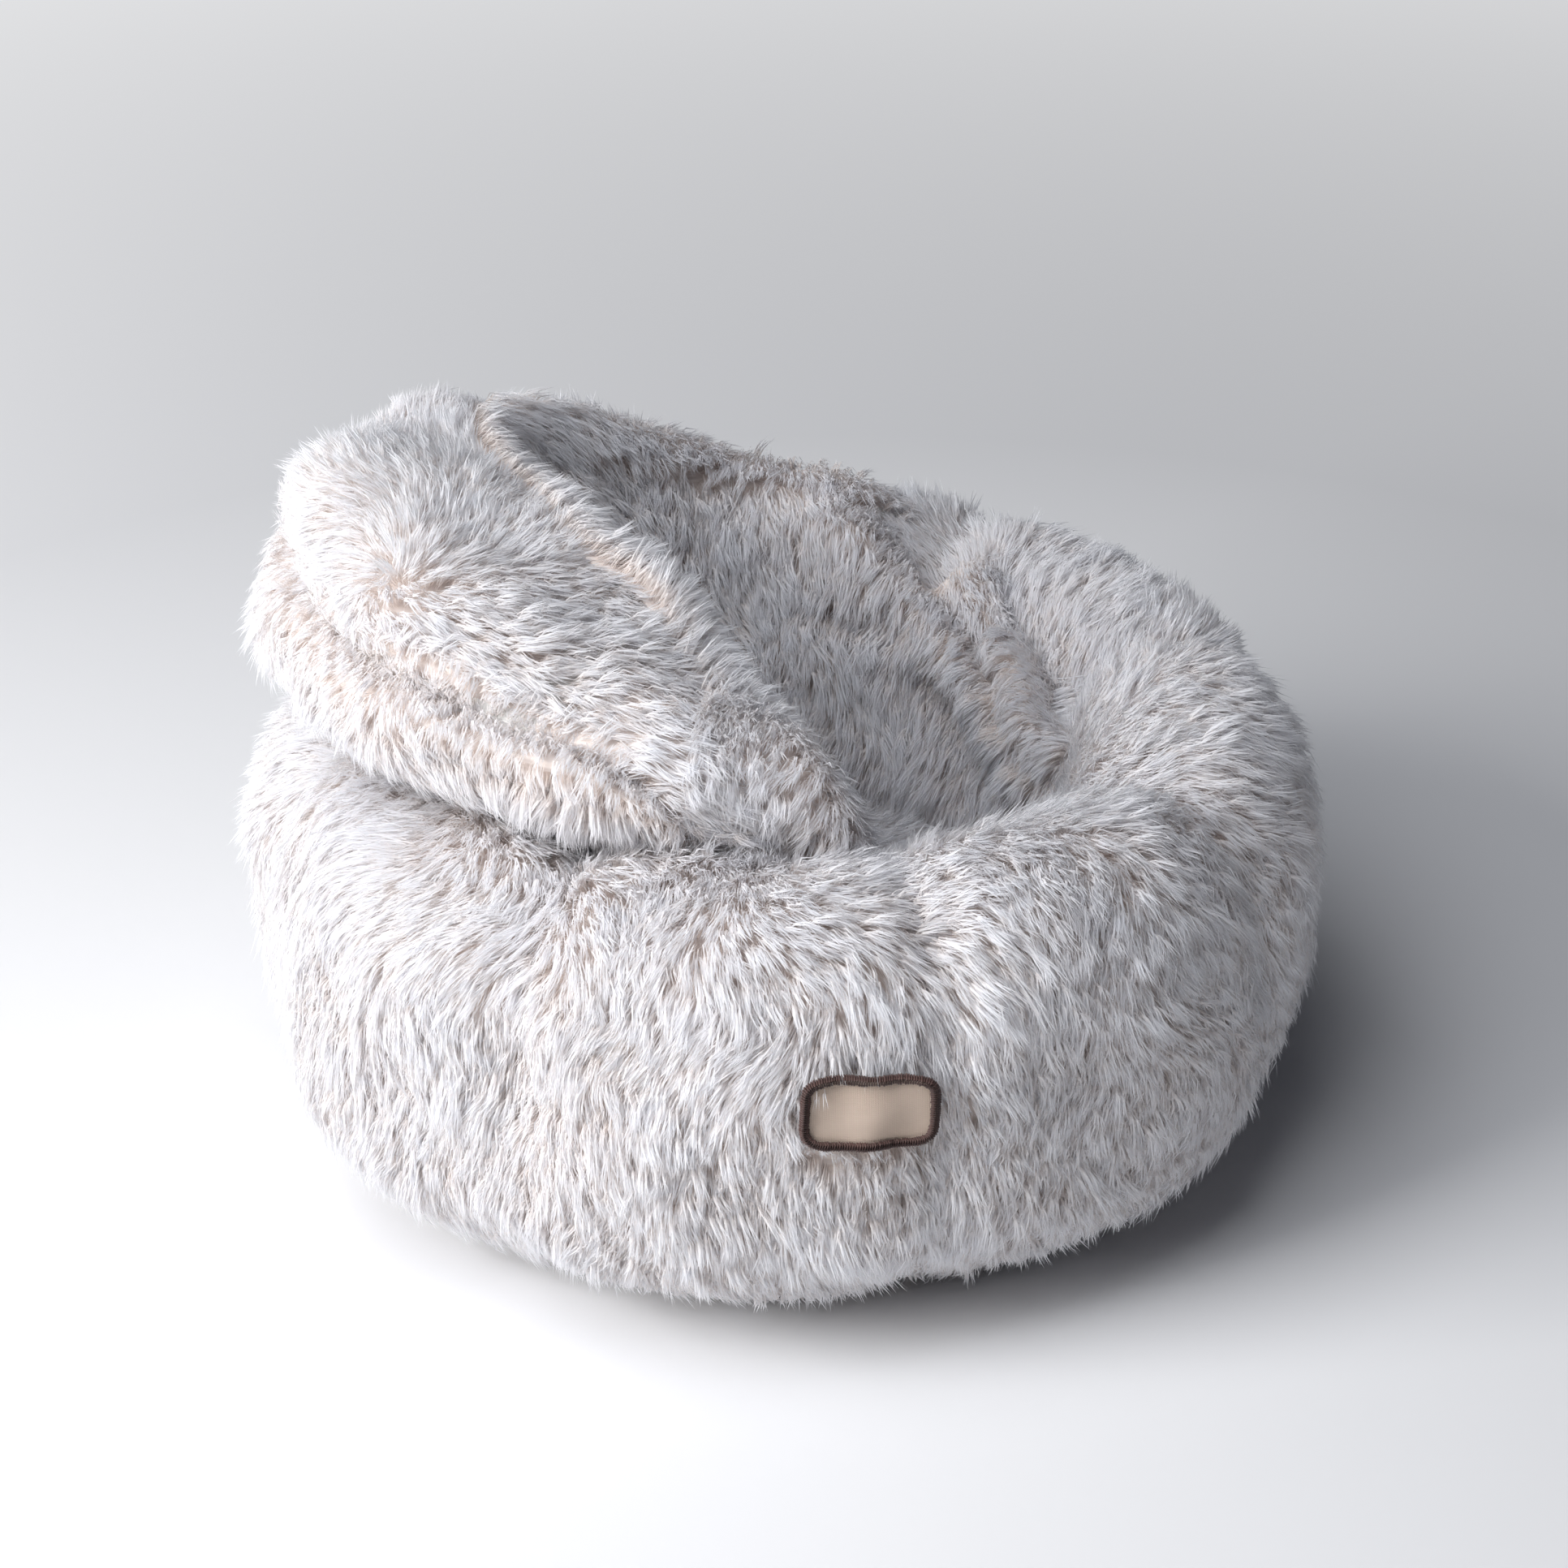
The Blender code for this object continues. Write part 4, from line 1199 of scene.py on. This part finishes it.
def seam_line(name, points, out, closed=False):
    mesh = bpy.data.meshes.new(name)
    count = len(points)
    edges = [(i, (i + 1) % count) for i in range(count if closed else count - 1)]
    mesh.from_pydata(points.tolist(), edges, [])
    outward = mesh.attributes.new("out", "FLOAT_VECTOR", "POINT")
    outward.data.foreach_set("vector", out.astype(np.float32).ravel())
    obj = bpy.data.objects.new(name, mesh)
    bpy.context.scene.collection.objects.link(obj)
    return obj


CREAM_THREAD = woven_material("sewing thread, cream", "#F2E6DA", "#DCC9B8", 0.0005)
overlock = thread_loop(
    "overlock stitch",
    [
        (0, 0.0026, 0.0002),
        (0.0003, 0.0018, 0.0012),
        (0.0002, 0.0, 0.0016),
        (0, -0.0010, 0.0004),
        (0, -0.0009, -0.0009),
    ],
    0.00048,
    BROWN_THREAD,
)
straight = thread_loop(
    "straight stitch",
    [(-0.0016, 0, -0.0008), (-0.0010, 0, 0.0003), (0.0010, 0, 0.0003), (0.0016, 0, -0.0008)],
    0.00035,
    CREAM_THREAD,
)
OVERLOCK_TREE = stitch_tree("Overlocked edge", BROWN_THREAD)
SEAM_TREE = stitch_tree("Sewn seam", CREAM_THREAD)

edge_line = label_points(0.975 * edge_x, 0.975 * edge_y, 0.0008)
label_thread = run_tree(
    OVERLOCK_TREE,
    seam_line("label edge line", edge_line, np.broadcast_to(LABEL_OUT, edge_line.shape), closed=True),
    "label_overlock_thread",
    Stitch=overlock,
    Spacing=0.00105,
    Unevenness=0.10,
    Seed=71,
)

azimuths = np.linspace(HOOD_START - 6.0, HOOD_END + 8.0, 180)
beside_seam = seam_at(azimuths)[:, None] + np.array([[-0.02, 0.0, 0.02]])
around_seam = hood_outside(azimuths, np.clip(beside_seam, 0.0, 1.0))
_, _, inward = grid_frames(around_seam)
hood_thread = run_tree(
    SEAM_TREE,
    seam_line("hood seam line", around_seam[:, 1], -inward[:, 1]),
    "hood_seam_thread",
    Stitch=straight,
    Spacing=0.0042,
    Unevenness=0.08,
    Seed=72,
)
gore_threads = []
for number in range(8):
    at = np.array([-0.4, 0.0, 0.4]) + FIRST_SEAM + 45.0 * number
    near = rim_points(at, PILE_HEIGHT, GORE_COLUMNS)
    around, over, out = grid_frames(near)
    keep = slice(2, int(GORE_COLUMNS * 0.8))
    thread = run_tree(
        SEAM_TREE,
        seam_line(f"gore seam line {number + 1}", near[1, keep], out[1, keep]),
        f"gore_seam_thread_{number + 1}",
        Stitch=straight,
        Spacing=0.0042,
        Unevenness=0.08,
        Seed=81 + number,
    )
    gore_threads.append(thread)
print("stitches:", {k: v for k, v in triangles.items() if "thread" in k})

# %% [markdown]
# ## The underside
# A round panel of woven cloth closes the bed below, and small soft dots keep it from sliding. The dots
# are one low dome, set on a hexagonal grid by Geometry Nodes.

# %% Cut the base panel and print its dots
BASE_CLOTH = woven_material("woven base cloth, pale grey", "#CFCBC6", "#B4AFA9", 0.0009)
DOT_RUBBER, _, dot_shader = new_material("soft clear rubber dots")
dot_shader.inputs["Base Color"].default_value = hex_color("#D9D7D2")
dot_shader.inputs["Roughness"].default_value = 0.35
DOT_HEIGHT = 0.0012
x, y, share = disc_grid(40)
flat_disc = np.stack([x * PANEL_RADIUS, y * PANEL_RADIUS, DOT_HEIGHT + 0.0018 + 0 * x], -1)
base_panel = cloth_sheet("base_panel_cloth", flat_disc)
if base_panel.data.polygons[0].normal.z < 0:
    base_panel.data.flip_normals()
base_panel = thicken(base_panel, 0.0018)
base_panel.data.materials.clear()
base_panel.data.materials.append(BASE_CLOTH)


def dot_mesh():
    turn = np.linspace(0.0, 2 * math.pi, 9)[:-1]
    rings = [(0.0019, 0.0), (0.0014, -0.0008), (0.0005, -DOT_HEIGHT)]
    verts = [(r * math.cos(t), r * math.sin(t), z) for r, z in rings for t in turn]
    faces = [
        (i * 8 + j, (i + 1) * 8 + j, (i + 1) * 8 + (j + 1) % 8, i * 8 + (j + 1) % 8)
        for i in range(2)
        for j in range(8)
    ]
    mesh = bpy.data.meshes.new("dot")
    mesh.from_pydata(verts, [], faces + [tuple(range(23, 15, -1)), tuple(range(8))])
    mesh.shade_smooth()
    mesh.materials.append(DOT_RUBBER)
    return bpy.data.objects.new("rubber dot", mesh)


def dot_tree_on_disc():
    """Dots on every point of the given mesh that is nearer the middle than Reach."""
    tree = bpy.data.node_groups.new("Non-slip dots", "GeometryNodeTree")
    tree.interface.new_socket("Points", in_out="INPUT", socket_type="NodeSocketGeometry")
    tree.interface.new_socket("Dot", in_out="INPUT", socket_type="NodeSocketObject")
    tree.interface.new_socket("Spacing", in_out="INPUT", socket_type="NodeSocketFloat").default_value = 0.008
    tree.interface.new_socket("Reach", in_out="INPUT", socket_type="NodeSocketFloat").default_value = 0.16
    tree.interface.new_socket("Dots", in_out="OUTPUT", socket_type="NodeSocketGeometry")
    given = add(tree, "NodeGroupInput").outputs
    place = add(tree, "GeometryNodeInputPosition").outputs[0]
    parts = add(tree, "ShaderNodeSeparateXYZ", {0: place}).outputs
    row = add(tree, "ShaderNodeMath", {0: parts["Y"], 1: 2.0}, operation="MODULO").outputs[0]
    row = add(tree, "ShaderNodeMath", {0: row}, operation="ABSOLUTE").outputs[0]
    half = add(tree, "ShaderNodeMath", {0: row, 1: 0.5}, operation="MULTIPLY").outputs[0]
    x = add(tree, "ShaderNodeMath", {0: parts["X"], 1: half}, operation="ADD").outputs[0]
    y = add(tree, "ShaderNodeMath", {0: parts["Y"], 1: 0.866}, operation="MULTIPLY").outputs[0]
    spot = add(tree, "ShaderNodeCombineXYZ", {"X": x, "Y": y, "Z": 0.0}).outputs[0]
    spot = add(tree, "ShaderNodeVectorMath", {0: spot, "Scale": given["Spacing"]}, operation="SCALE").outputs[0]
    spot = add(tree, "ShaderNodeVectorMath", {0: spot, 1: (0.0, 0.0, DOT_HEIGHT)}, operation="ADD").outputs[0]
    moved = add(tree, "GeometryNodeSetPosition", {"Geometry": given["Points"], "Position": spot})
    placed_at = add(tree, "GeometryNodeInputPosition").outputs[0]
    far = add(tree, "ShaderNodeVectorMath", {0: placed_at}, operation="LENGTH")
    near = add(tree, "FunctionNodeCompare", {0: far.outputs["Value"], 1: given["Reach"]}, operation="LESS_THAN")
    dot = add(tree, "GeometryNodeObjectInfo", {"Object": given["Dot"]}).outputs["Geometry"]
    placed = add(
        tree,
        "GeometryNodeInstanceOnPoints",
        {"Points": moved.outputs[0], "Instance": dot, "Selection": near.outputs[0]},
    )
    real = add(tree, "GeometryNodeRealizeInstances", {0: placed.outputs[0]})
    finished = add(tree, "GeometryNodeSetMaterial", {"Geometry": real.outputs[0], "Material": DOT_RUBBER})
    add(tree, "NodeGroupOutput", {0: finished.outputs[0]})
    return tree


count = 23
grid_points = bpy.data.meshes.new("dot places")
steps = range(-count, count + 1)
grid_points.from_pydata([(float(i), float(j), 0.0) for i in steps for j in steps], [], [])
dot_places = bpy.data.objects.new("dot places", grid_points)
bpy.context.scene.collection.objects.link(dot_places)
dots = run_tree(
    dot_tree_on_disc(), dot_places, "non_slip_dots", Dot=dot_mesh(), Spacing=0.008, Reach=PANEL_RADIUS - 0.006
)
print("dots:", triangles["non_slip_dots"], "triangles")

# %% [markdown]
# ## Joining the pieces to the frame
# Each piece replaces a CAD node or rides a body. The rim, cushion and label stay on the bed. The hood's
# pieces keep the place they were made in and ride no body. For each cloth, the CAD node it covers is
# hidden.


def cover(node):
    """Hides the CAD node that a cover replaces."""
    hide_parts(node)


for name, pile, cloth in zip(GORE_NAMES, RIM_PILE, RIM_CLOTH):
    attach(pile, "bed")
    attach(cloth, "bed")
    cover(name)
BED_CLOTHS = ("hollow_lining", "cushion_cover")
for (name, cloth), pile in zip(HOOD_CLOTH.items(), HOOD_PILE):
    for piece in (cloth, pile):
        if name in BED_CLOTHS:
            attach(piece, "bed")
        else:
            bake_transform(piece)
    cover(name)
for piece, node in ((rim_fill, "rim_fill"), (cushion_fill, "cushion_fill")):
    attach(piece, "bed")
    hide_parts(node)
for side, piece in hood_fill.items():
    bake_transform(piece)
    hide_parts(f"hood_padding_{side}")
for piece in (label_patch, label_edge, label_thread, base_panel, dots, *gore_threads):
    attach(piece, "bed")
for piece in (hood_thread, *hood_end):
    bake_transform(piece)
cover("label_patch")
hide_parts("label_border")
cover("base_panel")

# %% [markdown]
# ## Camera, light and floor
# The bed stands on white paper under two soft boxes: the key low on the left, which leaves the inside of
# the hood and the right wall in shade, and a weaker fill from above. The paper glows a little far out, as
# a backdrop that has its own light does.

# %% Camera, lights and floor
camera = bpy.data.objects.new("camera", bpy.data.cameras.new("camera"))
bpy.context.scene.collection.objects.link(camera)
bpy.context.scene.camera = camera
CAMERA_ELEVATION = math.radians(30.5)
CAMERA_DISTANCE = 1.7
AIM_HEIGHT = 0.1
PITCH_UP = math.radians(1.9)
ROLL = math.radians(-1.0)
CAMERA_ASIDE = 0.0005
camera.location = (
    CAMERA_ASIDE,
    -CAMERA_DISTANCE * math.cos(CAMERA_ELEVATION),
    AIM_HEIGHT + CAMERA_DISTANCE * math.sin(CAMERA_ELEVATION),
)
pitch = Matrix.Rotation(math.pi / 2 - CAMERA_ELEVATION + PITCH_UP, 3, "X")
camera.rotation_euler = (pitch @ Matrix.Rotation(ROLL, 3, "Z")).to_euler()
camera.data.sensor_width = 36.0
camera.data.lens = 82.3
scene = bpy.context.scene
scene.view_settings.view_transform = "Standard"


def area_light(name, azimuth, elevation, distance, size, power, color):
    light = bpy.data.objects.new(name, bpy.data.lights.new(name, "AREA"))
    light.data.size = size
    light.data.energy = power
    light.data.color = color
    a, e = math.radians(azimuth), math.radians(elevation)
    aim = Vector((0.0, 0.0, 0.12))
    light.location = aim + distance * Vector((math.cos(e) * math.cos(a), math.cos(e) * math.sin(a), math.sin(e)))
    light.rotation_euler = (aim - light.location).to_track_quat("-Z", "Y").to_euler()
    scene.collection.objects.link(light)


area_light("key", 207.0, 27.0, 2.6, 1.4, 70.0, (1.0, 0.995, 0.99))
area_light("fill", 228.0, 62.0, 2.2, 1.6, 30.0, (0.93, 0.955, 1.0))
world = bpy.data.worlds.new("studio")
scene.world = world
world.use_nodes = True
world.node_tree.nodes["Background"].inputs["Color"].default_value = (0.78, 0.83, 1.0, 1.0)
world.node_tree.nodes["Background"].inputs["Strength"].default_value = 0.045

floor_mesh = bpy.data.meshes.new("floor")
floor_mesh.from_pydata([(-20, -20, 0), (20, -20, 0), (20, 20, 0), (-20, 20, 0)], [], [(0, 1, 2, 3)])
floor = bpy.data.objects.new("floor", floor_mesh)
scene.collection.objects.link(floor)
paper, paper_tree, paper_shader = new_material("matt white backdrop paper")
paper_shader.inputs["Base Color"].default_value = (0.88, 0.88, 0.89, 1.0)
paper_shader.inputs["Roughness"].default_value = 0.9
paper_shader.inputs["Emission Color"].default_value = (1.0, 1.0, 1.0, 1.0)
paper_place = add(paper_tree, "ShaderNodeTexCoord")
paper_distance = add(paper_tree, "ShaderNodeVectorMath", {0: paper_place.outputs["Object"]}, operation="LENGTH")
paper_glow = add(
    paper_tree, "ShaderNodeMapRange", {"Value": paper_distance.outputs["Value"], 1: 0.8, 2: 2.4, 3: 0.0, 4: 0.6}
)
paper_tree.links.new(paper_glow.outputs[0], paper_shader.inputs["Emission Strength"])
floor_mesh.materials.append(paper)

for item in list(locks.objects):
    bpy.data.objects.remove(item)
bpy.data.collections.remove(locks)
print("made in", round(time.perf_counter() - started, 1), "s", sum(triangles.values()), "triangles of pile")
